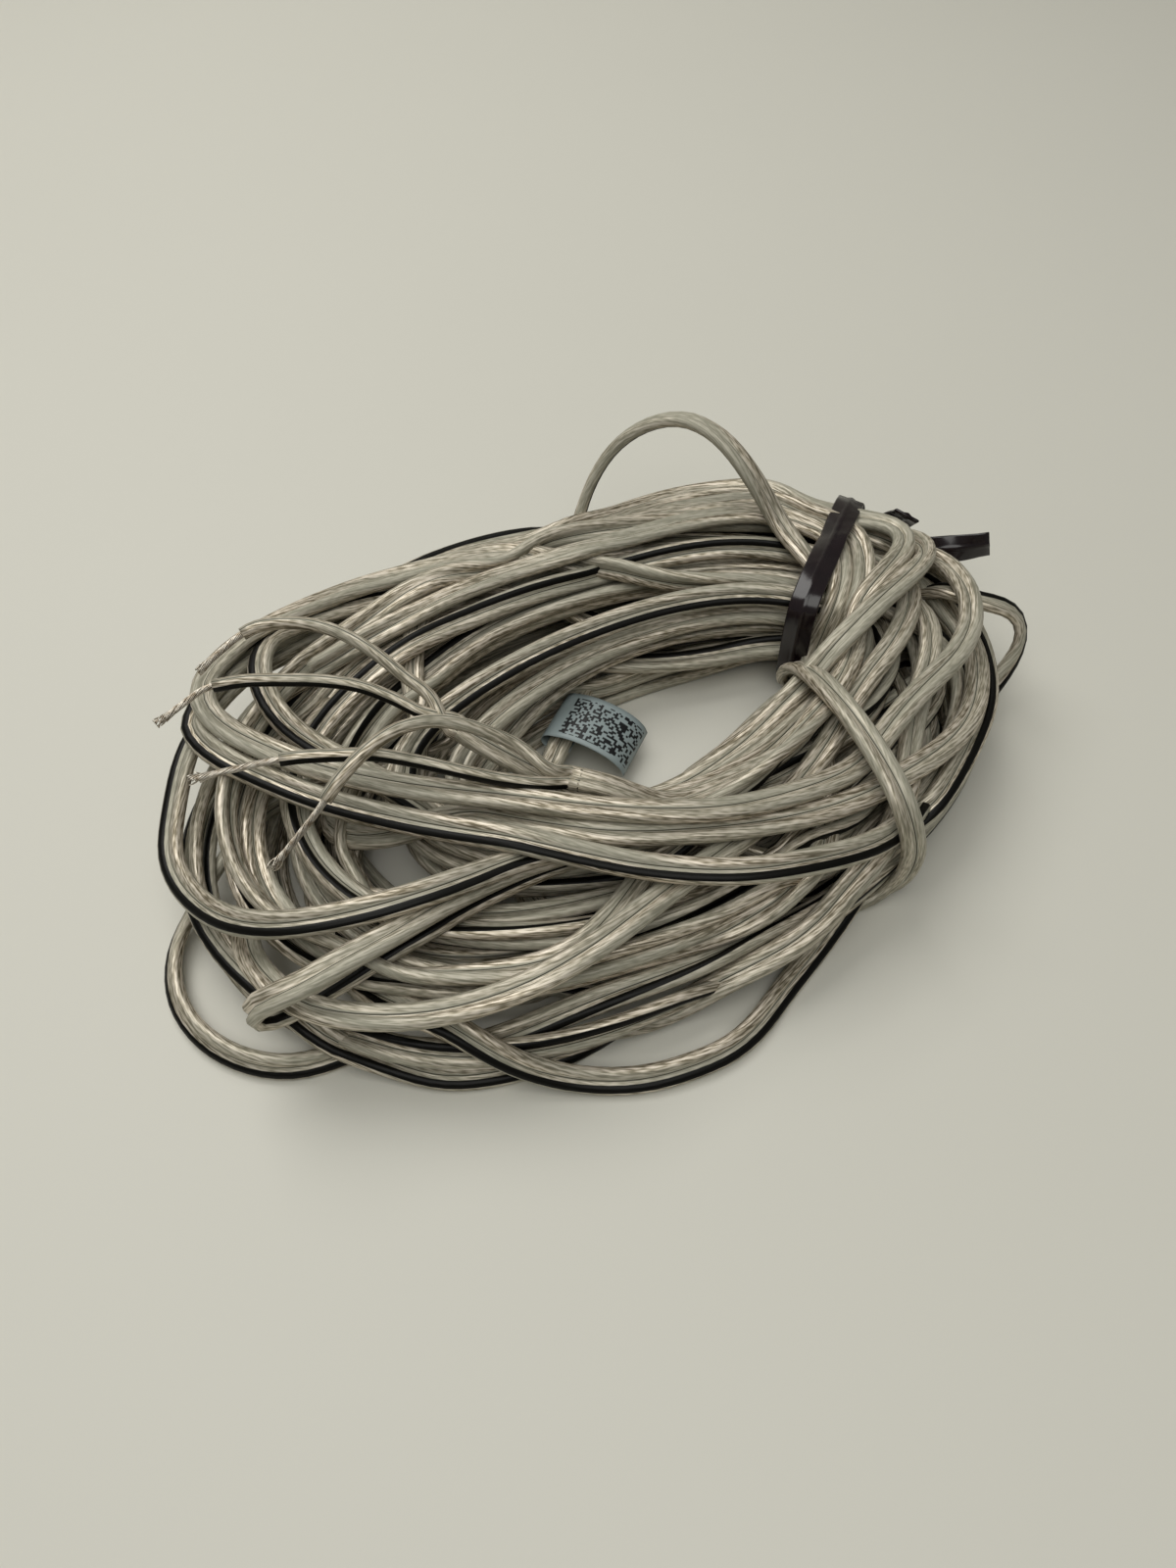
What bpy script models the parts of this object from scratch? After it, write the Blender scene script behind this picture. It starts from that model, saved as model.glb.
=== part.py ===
"""Hand-wound coil of clear twin loudspeaker cable, bound with one twist tie.

The coil lies flat on the table: X runs along its longest side, Z is up, and the origin is
under the middle of the coil. Sizes are in metres. Every length of cable is swept along a
centre line with the figure-eight section of a twin cable, turned to the way it lies.
"""

import math

import bmesh
import bpy
import numpy as np

MM = 0.001
DEGREE = math.radians(1.0)

# The middle of the lengths as they are laid out below, which the origin is put under.
LAID_MIDDLE = (7.3 * MM, -0.1 * MM, 0.0)

# Twin cable: two round conductors side by side, joined by a thin web of clear PVC.
CONDUCTOR_DIAMETER = 2.5 * MM
WEB_THICKNESS = 1.3 * MM
LOBE_SPREAD = 82.0 * DEGREE
CORE_DIAMETER = 1.3 * MM
STRAND_RIDGE = 0.16 * MM
STRAND_LAY = 9.0 * MM
OUTER_STRANDS = 6
FACE_GAP = 0.3 * MM
SMOOTH_ANGLE = 50.0 * DEGREE

# Coil: an oval of piled turns, laid in four layers.
LAYER_TURNS = (4.5, 5.9, 5.9, 4.05)
TOP_LAYER_REACH = 2.3
POINTS_PER_TURN = 24
LONG_RADIUS = 67.5 * MM
SHORT_RADIUS = 37.5 * MM
LEFT_PULL = 8.0 * MM
OVAL_TURN = 28.0 * DEGREE
OVAL_CENTRE = (6.0 * MM, 1.0 * MM)
START_ANGLE = -52.0 * DEGREE
TURN_GAP = 0.5 * MM
LAYER_GAP = 3.2 * MM
LAYER_GAP_AT_TIE = 4.4 * MM
LEFT_SPREAD = 2.6 * MM
FRONT_SPREAD = 0.5 * MM
LAYER_SWAY = 2.2 * MM
LAYER_ROLL = 20.0 * DEGREE

# Where the tie and the wrapped turn pass under the coil, it is held off the table.
TIE_ANGLE = 29.0 * DEGREE
TIE_LIFT = 2.0 * MM
WRAP_ANGLE = -43.0 * DEGREE
WRAP_LIFT = 3.6 * MM
TIE_LIFT_SPAN = 34.0 * DEGREE
WRAP_LIFT_SPAN = 50.0 * DEGREE

# Twist tie: a plastic ribbon with a wire bead along its middle.
TIE_WIDTH = 5.4 * MM
TIE_THICKNESS = 0.7 * MM
TIE_BEAD = 1.3 * MM
TIE_CLEARANCE = 0.45 * MM

# Label: tape folded round one strand, with a flag that stands to one side.
LABEL_WIDTH = 11.0 * MM
LABEL_FLAG = 13.0 * MM
LABEL_THICKNESS = 0.35 * MM
LABEL_CLEARANCE = 0.9 * MM

# Colours (linear) and finish of each material.
MATERIALS = {
    "clear_pvc": ((0.52, 0.50, 0.44), 0.25, 0.0),
    "bare_strands": ((0.60, 0.55, 0.50), 0.35, 1.0),
    "tie_plastic": ((0.03, 0.02, 0.025), 0.30, 0.0),
    "label_tape": ((0.62, 0.72, 0.78), 0.45, 0.0),
}

# Hand-laid lengths: (x, y, z, roll) in millimetres and degrees. Roll turns the flat side of
# the cable about its own line, from lying flat.
ROUTES = {
    "hole_strand": [
        (1.6, 24.6, 1.2, 0), (-1.6, 20.4, 1.8, 0), (-2.7, 17.4, 3.4, 0), (-3.3, 14.6, 6.1, 0),
        (-4.2, 11.8, 6.7, 0), (-5.3, 8.6, 5.8, 0), (-6.4, 5.4, 4.9, 0), (-7.5, 2.2, 4.0, 0), (-8.6, -1.0, 3.1, 0),
        (-10.6, -5.2, 1.7, 0), (-13.6, -9, 1.3, 0), (-17.5, -13, 1.3, 0),
    ],
    "top_loop": [
        (4, 61.0, 13.2, 75), (0, 62.4, 15.6, 75), (-2.4, 64.4, 19.2, 60), (-1.2, 66.6, 23.4, 50), (2.4, 68.2, 29.4, 45),
        (8.6, 67.4, 37, 40), (16.6, 67.6, 41.4, 30), (24, 65, 42.4, 20), (31.4, 58, 40.2, 10), (37, 49.6, 36.6, 5),
        (42, 42, 31.5, 0), (46, 37, 28, 0),
    ],
    "right_loop": [
        (77, 35, 28.2, 0), (83, 34.5, 28, 5), (89, 31.8, 26, 20), (93.5, 27.5, 21.5, 40), (94, 21.5, 15.5, 50),
        (90.5, 15.5, 9, 50), (86, 10, 4.6, 35), (81, 4.5, 2.3, 15), (76, -1.5, 1.9, 0),
    ],
    "front_loop": [
        (-30, -60, 1.4, 0), (-24, -61.5, 1.4, 0), (-17, -64, 1.4, 0), (-10, -66, 1.4, 0), (-2, -67.5, 1.4, 0),
        (7, -67.8, 1.4, 0), (17, -66, 1.4, 0), (25, -62.5, 1.4, 0), (33, -56.5, 1.4, 0), (40, -50, 1.4, 0),
        (46, -44, 1.4, 0), (51.5, -38.5, 1.6, 0),
    ],
    "left_loop": [
        (-76, -31, 4.2, 30), (-78.5, -36, 2.6, 15), (-79, -43, 1.6, 0), (-77, -50, 1.4, 0), (-73, -56, 1.4, 0),
        (-67, -61, 1.4, 0), (-60, -64, 1.4, 0), (-52, -65, 1.4, 0), (-45, -63.8, 1.7, 0), (-39, -62.2, 2.4, 0),
    ],
    "fold_run": [
        (-27, -42, 23.6, 0), (-34, -46.5, 24.0, 0), (-41, -50.5, 23.8, 0), (-47, -54.5, 20.9, 5),
        (-51.5, -58, 18.2, 20), (-54.8, -60.6, 17.6, 60), (-56.4, -60.4, 20.2, 90), (-54.2, -58, 22.0, 110),
        (-50, -55.5, 24.2, 160), (-44, -52, 26.9, 180), (-37.5, -48, 28.4, 180), (-30, -43.8, 28.2, 180),
        (-21.5, -39.5, 26.6, 180), (-13, -36, 25.0, 180), (-6, -33.5, 24.0, 180),
    ],
    "end_a_twin": [
        (-24, -8.5, 31, -25), (-19, -10.5, 29.8, -20), (-12, -14, 27.8, -10), (-4, -17, 26.2, -5),
        (5, -19, 25.6, 0), (15, -19.4, 24.0, 0),
    ],
    "end_b_twin": [
        (-1, -24.2, 27.4, -10), (5, -26, 26.2, -5), (13, -28, 25.4, 0), (22, -28.8, 25.0, 0), (31, -28.2, 25.0, 0),
        (40, -26, 25.6, 0), (48, -22, 26.4, 0), (54, -17, 27.0, 0),
    ],
}

# Single conductors of the two split ends, from the split to the stripped end.
LEAD_ROUTES = {
    "end_a_plain": [
        (-29, -5, 32.6), (-34, -1.5, 34.4), (-40, 3, 36.2), (-46, 6.6, 37.2),
        (-52, 8.6, 37.6), (-58, 9.2, 37.4), (-62.5, 8.8, 36.8), (-65, 7.4, 36.2),
    ],
    "end_a_striped": [
        (-30, -8.2, 31.6), (-36, -5.4, 32.6), (-42, -3.4, 33.6), (-49, -2.6, 34.2),
        (-56, -2.6, 34.4), (-63, -2.4, 34.0), (-69, -3.0, 33.2),
    ],
    "end_b_plain": [
        (-7, -20.4, 30.4), (-12, -17.4, 32.8), (-17, -16.2, 35.2), (-22, -15.8, 37.2),
        (-27, -16.4, 38.8), (-32, -18.6, 39.6), (-36, -21.6, 39.4), (-39.4, -25, 38.2), (-42, -28, 36.4),
    ],
    "end_b_striped": [
        (-9, -25.4, 29.4), (-16, -24.4, 31.2), (-23, -22.8, 32.6), (-30, -21.2, 33.6),
        (-37, -20.4, 34.4), (-44, -20.8, 34.8), (-50, -21.4, 35.0),
    ],
}

# Length of bare strands twisted at each stripped end, and the way they point from it.
BARE_TIPS = {
    "end_a_plain": (11.5 * MM, (-0.70, -0.62, -0.30)),
    "end_a_striped": (13.5 * MM, (-0.72, -0.66, -0.20)),
    "end_b_plain": (15.5 * MM, (-0.50, -0.72, -0.48)),
    "end_b_striped": (16.0 * MM, (-0.94, -0.32, 0.02)),
}

LOOSE_LOOPS = ("top_loop", "right_loop", "front_loop", "left_loop", "fold_run")
TIGHT_ROUTES = ("fold_run",)
ROUTE_STEP = 6.0 * MM
TIGHT_STEP = 3.2 * MM
LEAD_STEP = 4.0 * MM
TIP_STEP = 1.2 * MM
TIP_BEND = 0.35
CURVE_SAMPLES = 16

# The wrapped turn and the tie follow the pile's rounded outline. Spans are angles round it,
# from the outward side over the top.
PILE_ROUNDNESS = 5.5
WRAP_CLEARANCE = 0.5 * MM
WRAP_SWING = -24.0 * DEGREE
WRAP_SPAN = (-82.0 * DEGREE, 250.0 * DEGREE)
WRAP_POINTS = 40
TIE_SPAN = (38.0 * DEGREE, 322.0 * DEGREE)
TIE_POINTS = 30
TIE_STEP = 3.0 * MM

# Tails of the tie in millimetres: to the right along the pile, out from its loop, and up.
SHORT_TAIL = [
    (15.5, -1.4, 27.5), (13.6, 0.6, 23.0), (11.0, 2.0, 18.4), (8.0, 2.6, 15.2), (4.6, 2.4, 14.8),
    (1.8, 1.6, 16.6),
]
LONG_TAIL = [
    (1.0, 0.0, 12.6), (4.6, 0.2, 16.4), (9.0, -0.2, 18.6), (15.0, -2.4, 20.4), (22.0, -6.0, 22.0),
    (29.0, -10.4, 23.2), (34.0, -13.6, 24.0),
]

# Label: the point of the strand that it is folded round, and the form of its fold.
LABEL_PLACE = (-6.2, 6.0, 5.1)
LABEL_CURL = 1.6 * MM
LABEL_WRAP = 318.0 * DEGREE
LABEL_WRAP_POINTS = 18
LABEL_FLAG_POINTS = 8

CABLE_WIDTH = 2.0 * CONDUCTOR_DIAMETER
CONDUCTOR_RADIUS = CONDUCTOR_DIAMETER / 2.0
LAYERS = len(LAYER_TURNS)
TURNS = sum(LAYER_TURNS)
FLAT_CUT = CONDUCTOR_DIAMETER / 10.0


def clear_scene():
    """Remove every object that the file opened with."""
    for item in list(bpy.data.objects):
        bpy.data.objects.remove(item)


def make_collection(name):
    """Add a collection to the scene."""
    collection = bpy.data.collections.new(name)
    bpy.context.scene.collection.children.link(collection)
    return collection


def make_material(name):
    """A Principled material from its named colour, roughness and metallic value."""
    colour, roughness, metallic = MATERIALS[name]
    material = bpy.data.materials.new(name)
    material.use_nodes = True
    shader = material.node_tree.nodes["Principled BSDF"]
    shader.inputs["Base Color"].default_value = (*colour, 1.0)
    shader.inputs["Roughness"].default_value = roughness
    shader.inputs["Metallic"].default_value = metallic
    return material


def unit(vectors):
    """Vectors of length one, along the last axis."""
    return vectors / np.linalg.norm(vectors, axis=-1, keepdims=True)


def directions(points):
    """Direction of a polyline at each point: the mean of the runs on both sides."""
    runs = unit(np.diff(points, axis=0))
    inner = unit(runs[:-1] + runs[1:])
    return np.vstack([runs[:1], inner, runs[-1:]])


def level_sides(points):
    """Level vectors square to the line, on its right-hand side."""
    return unit(np.cross(directions(points), (0.0, 0.0, 1.0)))


def turned(sides, along, angles):
    """Turn side vectors about the line's own direction."""
    across = np.cross(along, sides)
    return sides * np.cos(angles)[:, None] + across * np.sin(angles)[:, None]


def smooth_route(points, step):
    """Evenly spaced points on a Catmull-Rom curve through hand-chosen points."""
    rows = np.array(points, dtype=float)
    padded = np.vstack([2 * rows[0] - rows[1], rows, 2 * rows[-1] - rows[-2]])
    fine = []
    for a, b, c, d in zip(padded, padded[1:], padded[2:], padded[3:]):
        for t in np.linspace(0.0, 1.0, CURVE_SAMPLES, endpoint=False):
            fine.append(0.5 * (2 * b + (c - a) * t + (2 * a - 5 * b + 4 * c - d) * t**2
                               + (3 * b - a - 3 * c + d) * t**3))
    fine = np.array([*fine, rows[-1]])
    reach = np.concatenate([[0.0], np.cumsum(np.linalg.norm(np.diff(fine[:, :3], axis=0), axis=1))])
    stations = np.linspace(0.0, reach[-1], max(3, round(reach[-1] / step) + 1))
    return np.column_stack([np.interp(stations, reach, column) for column in fine.T])


# ---------------------------------------------------------------- sections

def twin_section(points_per_lobe):
    """Figure-eight outline of the twin cable: two lobes and a waist."""
    outline = []
    for side in (1.0, -1.0):
        for angle in np.linspace(LOBE_SPREAD, -LOBE_SPREAD, points_per_lobe):
            outline.append((side * CONDUCTOR_RADIUS * (1.0 + math.cos(angle)),
                            side * CONDUCTOR_RADIUS * math.sin(angle)))
        outline.append((0.0, -side * WEB_THICKNESS / 2.0))
    return outline


def round_section(diameter, count):
    """Outline of a round conductor."""
    angles = [2.0 * math.pi * i / count for i in range(count)]
    return [(diameter / 2.0 * math.cos(a), -diameter / 2.0 * math.sin(a)) for a in angles]


def strand_section(strands):
    """Outline of a bundle of twisted strands: one ridge for each outer strand."""
    outline = []
    for i in range(2 * strands):
        radius = CORE_DIAMETER / 2.0 - (STRAND_RIDGE if i % 2 else 0.0)
        angle = math.pi * i / strands
        outline.append((radius * math.cos(angle), -radius * math.sin(angle)))
    return outline


def ribbon_section():
    """Outline of the tie: two thin wings with the wire's bead between them."""
    half = TIE_THICKNESS / 2.0
    wing = TIE_WIDTH / 2.0
    bead = TIE_BEAD / 2.0
    upper = [(wing, half), (bead, half), (bead / 2.0, bead), (-bead / 2.0, bead), (-bead, half), (-wing, half)]
    return [*upper, *((-x, -y) for x, y in upper)]


def make_section(name, outline, guides):
    """A hidden closed curve that a swept piece takes its outline from."""
    curve = bpy.data.curves.new(name, "CURVE")
    curve.dimensions = "2D"
    spline = curve.splines.new("POLY")
    spline.points.add(len(outline) - 1)
    for point, (x, y) in zip(spline.points, outline):
        point.co = (x, y, 0.0, 1.0)
    spline.use_cyclic_u = True
    section = bpy.data.objects.new(name, curve)
    section.hide_render = True
    section.display_type = "WIRE"
    guides.objects.link(section)
    return section


# ---------------------------------------------------------------- sweeps

def sweep(name, points, sides, section, material, parts):
    """A piece swept along points, its section's width turned to the given sides."""
    along = directions(points)
    sides = unit(sides - along * np.sum(sides * along, axis=1)[:, None])
    level = level_sides(points)
    tilts = np.arctan2(np.sum(np.cross(level, sides) * along, axis=1), np.sum(level * sides, axis=1))
    curve = bpy.data.curves.new(name, "CURVE")
    curve.dimensions = "3D"
    curve.twist_mode = "Z_UP"
    curve.twist_smooth = 0.0
    spline = curve.splines.new("POLY")
    spline.points.add(len(points) - 1)
    for point, place, tilt in zip(spline.points, points, tilts):
        point.co = (*place, 1.0)
        point.tilt = tilt
    curve.bevel_mode = "OBJECT"
    curve.bevel_object = section
    curve.use_fill_caps = True
    piece = bpy.data.objects.new(name, curve)
    parts.objects.link(piece)
    return as_mesh(piece, material, parts)


def as_mesh(piece, material, parts):
    """Replace a swept curve with its mesh, caps welded."""
    graph = bpy.context.evaluated_depsgraph_get()
    mesh = bpy.data.meshes.new_from_object(piece.evaluated_get(graph))
    name = piece.name
    bpy.data.objects.remove(piece)
    body = bmesh.new()
    body.from_mesh(mesh)
    bmesh.ops.remove_doubles(body, verts=body.verts, dist=1e-7)
    bmesh.ops.recalc_face_normals(body, faces=body.faces)
    body.to_mesh(mesh)
    body.free()
    mesh.materials.clear()
    mesh.materials.append(material)
    mesh.shade_smooth()
    mesh.set_sharp_from_angle(angle=SMOOTH_ANGLE)
    solid = bpy.data.objects.new(name, mesh)
    parts.objects.link(solid)
    return solid


def cut_flat(solid, height):
    """Cut a solid level at the table, and close it."""
    body = bmesh.new()
    body.from_mesh(solid.data)
    everything = [*body.verts, *body.edges, *body.faces]
    cut = bmesh.ops.bisect_plane(body, geom=everything, dist=1e-8, plane_co=(0.0, 0.0, height),
                                 plane_no=(0.0, 0.0, -1.0), clear_outer=True)
    rim = [item for item in cut["geom_cut"] if isinstance(item, bmesh.types.BMEdge)]
    bmesh.ops.holes_fill(body, edges=rim, sides=0)
    bmesh.ops.recalc_face_normals(body, faces=body.faces)
    body.to_mesh(solid.data)
    body.free()


# ---------------------------------------------------------------- coil

def away_from_tie(angle):
    """0 at the tie, 1 on the far side of the coil."""
    return (1.0 - np.cos(angle - TIE_ANGLE)) / 2.0


def lane_pitch(angle):
    """Distance between neighbouring turns of one layer: drawn in at the tie, spread at the left."""
    left = ((1.0 - np.cos(angle)) / 2.0) ** 3
    front = ((1.0 - np.sin(angle)) / 2.0) ** 2
    return CABLE_WIDTH + TURN_GAP + LEFT_SPREAD * left + FRONT_SPREAD * front


def layer_pitch(angle):
    """Height from one layer to the next: piled highest at the tie."""
    far = away_from_tie(angle)
    return CONDUCTOR_DIAMETER + LAYER_GAP * far + LAYER_GAP_AT_TIE * (1.0 - far)


def lift(angle):
    """Height of the coil's underside over the table."""
    def hump(centre, span):
        apart = np.arctan2(np.sin(angle - centre), np.cos(angle - centre))
        return np.exp(-((apart / span) ** 4))
    return np.maximum(TIE_LIFT * hump(TIE_ANGLE, TIE_LIFT_SPAN), WRAP_LIFT * hump(WRAP_ANGLE, WRAP_LIFT_SPAN))


def pile_point(angle, out):
    """Level place at an angle round the oval, moved outward from the pile's middle line."""
    pull = LEFT_PULL * ((1.0 - np.cos(angle)) / 2.0) ** 2
    u = (LONG_RADIUS - pull + out) * np.cos(angle)
    v = (SHORT_RADIUS + out) * np.sin(angle)
    x = OVAL_CENTRE[0] + u * math.cos(OVAL_TURN) - v * math.sin(OVAL_TURN)
    y = OVAL_CENTRE[1] + u * math.sin(OVAL_TURN) + v * math.cos(OVAL_TURN)
    return x, y


def level_and_lane(turns):
    """Layer of a turn, counted up from the table, and its lane, counted outward from the middle.

    The winding starts in the top layer and goes out, in, out and in again, a lane a turn. It
    changes layer in the half turn where it reverses.
    """
    counts = LAYER_TURNS[::-1]
    begins = np.concatenate([[0.0], np.cumsum(counts)])
    level = np.full_like(turns, LAYERS - 1.0)
    lane = TOP_LAYER_REACH - (begins[1] - turns)
    for layer in range(1, LAYERS):
        t = np.clip((turns - begins[layer]) / 0.5 + 0.5, 0.0, 1.0)
        share = t * t * (3.0 - 2.0 * t)
        heading = 1.0 if layer % 2 == 0 else -1.0
        own = heading * (turns - (begins[layer] + begins[layer + 1]) / 2.0)
        lane = lane * (1.0 - share) + own * share
        level -= share
    return level, lane


def coil_line(turns):
    """Centre line of the coil: points and the side vectors of its flat width."""
    angle = START_ANGLE + 2.0 * math.pi * turns
    level, lane = level_and_lane(turns)
    sway = LAYER_SWAY * away_from_tie(angle) * np.sin(angle * 2.0 + 2.4 * level)
    x, y = pile_point(angle, lane * lane_pitch(angle) + sway)
    z = lift(angle) + CONDUCTOR_RADIUS - FLAT_CUT + level * layer_pitch(angle)
    points = np.column_stack([x, y, z])
    roll = LAYER_ROLL * np.sin(2.2 * level) * away_from_tie(angle)
    return points, turned(level_sides(points), directions(points), roll)


def least_self_gap(solid, rings, corners):
    """Least distance between the corners of rings that lie half a turn or more apart."""
    corners_of = np.array([v.co for v in solid.data.vertices])[:rings * corners].reshape(rings, corners, 3)
    least = math.inf
    for i in range(rings):
        later = corners_of[i + POINTS_PER_TURN // 2:].reshape(-1, 3)
        if len(later):
            apart = np.linalg.norm(corners_of[i][:, None] - later[None], axis=2)
            least = min(least, apart.min())
    return least


def build_coil(section, material, parts):
    """All the piled turns as one unbroken length."""
    count = round(TURNS * POINTS_PER_TURN) + 1
    points, sides = coil_line(np.linspace(0.0, TURNS, count))
    coil = sweep("coil_turns", points, sides, section, material, parts)
    print("coil: least gap to itself", round(least_self_gap(coil, count, 8) / MM, 2), "mm")
    cut_flat(coil, 0.0)
    return points, sides


# ---------------------------------------------------------------- free lengths

def cable_route(name, head=(), tail=()):
    """Points and sides of a hand-laid length.

    The head and the tail are rows that it meets the coil by. Their outermost row is kept as it
    is, and the others guide the curve.
    """
    rows = [(x * MM, y * MM, z * MM, roll * DEGREE) for x, y, z, roll in ROUTES[name]]
    step = TIGHT_STEP if name in TIGHT_ROUTES else ROUTE_STEP
    laid = smooth_route([*head[1:], *rows, *tail[:-1]], step)
    laid = np.vstack([*head[:1], laid, *tail[-1:]])
    points = laid[:, :3]
    return points, turned(level_sides(points), directions(points), laid[:, 3])


def joined_rows(point, away, side):
    """Two rows in line with a cut end of the coil: face to face with it, then a little way on."""
    level = unit(away * (1.0, 1.0, 0.0))
    roll = roll_of(side, away)
    return [(*(point + level * reach), roll) for reach in (FACE_GAP, CONDUCTOR_DIAMETER)]


def roll_of(point_side, along):
    """Angle between a side vector and the level."""
    level = unit(np.cross(along, (0.0, 0.0, 1.0)))
    return math.atan2(np.dot(np.cross(level, point_side), along), np.dot(level, point_side))


def pile_frame(angle):
    """Middle of the pile at an angle round the oval, with its outward and onward directions."""
    step = 0.5 * DEGREE
    before, centre, after = (np.array([*pile_point(angle + turn, 0.0), 0.0]) for turn in (-step, 0.0, step))
    onward = unit(after - before)
    return centre, np.array([onward[1], -onward[0], 0.0]), onward


def pile_half_width(angle):
    """Half the width of the pile of turns, across the outermost cables."""
    return max(LAYER_TURNS) / 2.0 * lane_pitch(angle) + CABLE_WIDTH / 2.0


def pile_heights(angle):
    """Underside and top of the pile."""
    low = lift(angle) - FLAT_CUT
    return low, low + CONDUCTOR_DIAMETER + (LAYERS - 1) * layer_pitch(angle)


def rounded(angles, half_width, half_height, roundness):
    """Points on a rounded rectangle, by their angle round its middle."""
    power = 2.0 / roundness
    level = half_width * np.sign(np.cos(angles)) * np.abs(np.cos(angles)) ** power
    upright = half_height * np.sign(np.sin(angles)) * np.abs(np.sin(angles)) ** power
    return level, upright


def build_wrapped_turn(section, material, parts):
    """The one turn that is wrapped round the pile on a slant, its flat side against the turns."""
    seat = CONDUCTOR_RADIUS + WRAP_CLEARANCE
    around = np.linspace(*WRAP_SPAN, WRAP_POINTS)
    level, _ = rounded(around, 1.0, 1.0, PILE_ROUNDNESS)
    angle = WRAP_ANGLE + WRAP_SWING * level
    low, high = pile_heights(angle)
    out, upright = rounded(around, pile_half_width(angle) + seat, (high - low) / 2.0 + seat, PILE_ROUNDNESS)
    x, y = pile_point(angle, out)
    points = np.column_stack([x, y, (low + high) / 2.0 + upright])
    onward = np.array([pile_frame(each)[2] for each in angle])
    sweep("wrapped_turn", points, onward, section, material, parts)


# ---------------------------------------------------------------- split ends

def build_split_end(end, twin_points, twin_sides, sections, materials, parts):
    """Two single conductors that leave a twin's end, each with its bare twisted strands."""
    along = unit(twin_points[0] - twin_points[1])
    for lead, side in (("plain", -1.0), ("striped", 1.0)):
        name = f"{end}_{lead}"
        root = twin_points[0] + twin_sides[0] * side * CONDUCTOR_RADIUS
        rows = [root + along * FACE_GAP, root + along * CONDUCTOR_DIAMETER]
        rows += [np.array(point) * MM for point in LEAD_ROUTES[name]]
        points = smooth_route(rows, LEAD_STEP)
        sweep(f"{name}_lead", points, level_sides(points), sections["lead"], materials["clear_pvc"], parts)
        build_bare_tip(name, points, sections["strands"], materials["bare_strands"], parts)


def build_bare_tip(name, lead_points, section, material, parts):
    """The stripped core: a rope of strands that turns as it runs."""
    length, heading = BARE_TIPS[name]
    leaving = unit(lead_points[-1] - lead_points[-2])
    heading = unit(np.array(heading))
    count = round(length / TIP_STEP) + 1
    points = [lead_points[-1] + leaving * FACE_GAP]
    for i in range(1, count):
        blend = min(1.0, i / (TIP_BEND * count))
        points.append(points[-1] + unit(leaving * (1.0 - blend) + heading * blend) * TIP_STEP)
    points = np.array(points)
    turns = np.arange(count) * TIP_STEP / STRAND_LAY * 2.0 * math.pi
    sides = turned(level_sides(points), directions(points), turns)
    sweep(f"{name}_strands", points, sides, section, material, parts)


# ---------------------------------------------------------------- tie and label

def build_tie(section, material, parts):
    """One ribbon: short tail, round the pile, and back to cross itself and end in the long tail."""
    centre, outward, onward = pile_frame(TIE_ANGLE)
    low, high = pile_heights(TIE_ANGLE)
    seat = TIE_CLEARANCE + TIE_BEAD / 2.0
    half = pile_half_width(TIE_ANGLE) + seat
    rise = (high - low) / 2.0 + seat
    angles = np.linspace(*TIE_SPAN, TIE_POINTS)
    level, upright = rounded(angles, half, rise, PILE_ROUNDNESS)
    loop = np.column_stack([np.zeros(TIE_POINTS), level, (low + high) / 2.0 + upright])
    short_tail = [(a * MM, half + n * MM, z * MM) for a, n, z in SHORT_TAIL]
    long_tail = [(a * MM, half + n * MM, z * MM) for a, n, z in LONG_TAIL]
    local = smooth_route([*short_tail, *loop, *long_tail], TIE_STEP)
    points = centre - np.outer(local[:, 0], onward) + np.outer(local[:, 1], outward)
    points[:, 2] = local[:, 2]
    along = directions(points)
    in_face = unit(np.cross(outward, along))
    share = np.clip(np.abs(local[:, 0]) / TIE_WIDTH, 0.0, 1.0)[:, None]
    sides = unit(in_face * share - onward * (1.0 - share))
    sweep("tie_ribbon", points, sides, section, material, parts)


def build_label(points, sides, material, parts):
    """A tape folded round the strand in the hole, its flag standing to one side."""
    middle = np.argmin(np.linalg.norm(points - np.array(LABEL_PLACE) * MM, axis=1))
    along = directions(points)[middle]
    side = -sides[middle]
    normal = np.cross(side, along)
    half_wide = CABLE_WIDTH / 2.0 + LABEL_CLEARANCE
    half_thick = CONDUCTOR_RADIUS + LABEL_CLEARANCE
    outline = []
    for t in np.linspace(1.0, 0.0, LABEL_FLAG_POINTS, endpoint=False):
        outline.append((half_wide + LABEL_FLAG * t, LABEL_CURL * math.sin(math.pi * t)))
    for angle in np.linspace(0.0, LABEL_WRAP, LABEL_WRAP_POINTS):
        outline.append((half_wide * math.cos(angle), half_thick * math.sin(angle)))
    body = bmesh.new()
    start = points[middle] - along * LABEL_WIDTH / 2.0
    row = [body.verts.new(start + side * x + normal * y) for x, y in outline]
    edges = [body.edges.new(pair) for pair in zip(row, row[1:])]
    grown = bmesh.ops.extrude_edge_only(body, edges=edges)["geom"]
    moved = [item for item in grown if isinstance(item, bmesh.types.BMVert)]
    bmesh.ops.translate(body, verts=moved, vec=along * LABEL_WIDTH)
    bmesh.ops.recalc_face_normals(body, faces=body.faces)
    mesh = bpy.data.meshes.new("label_tape")
    body.to_mesh(mesh)
    body.free()
    mesh.materials.append(material)
    label = bpy.data.objects.new("label_tape", mesh)
    parts.objects.link(label)
    skin = label.modifiers.new("thickness", "SOLIDIFY")
    skin.thickness = LABEL_THICKNESS
    skin.offset = 0.0
    skin.use_even_offset = True


# ---------------------------------------------------------------- build

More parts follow.
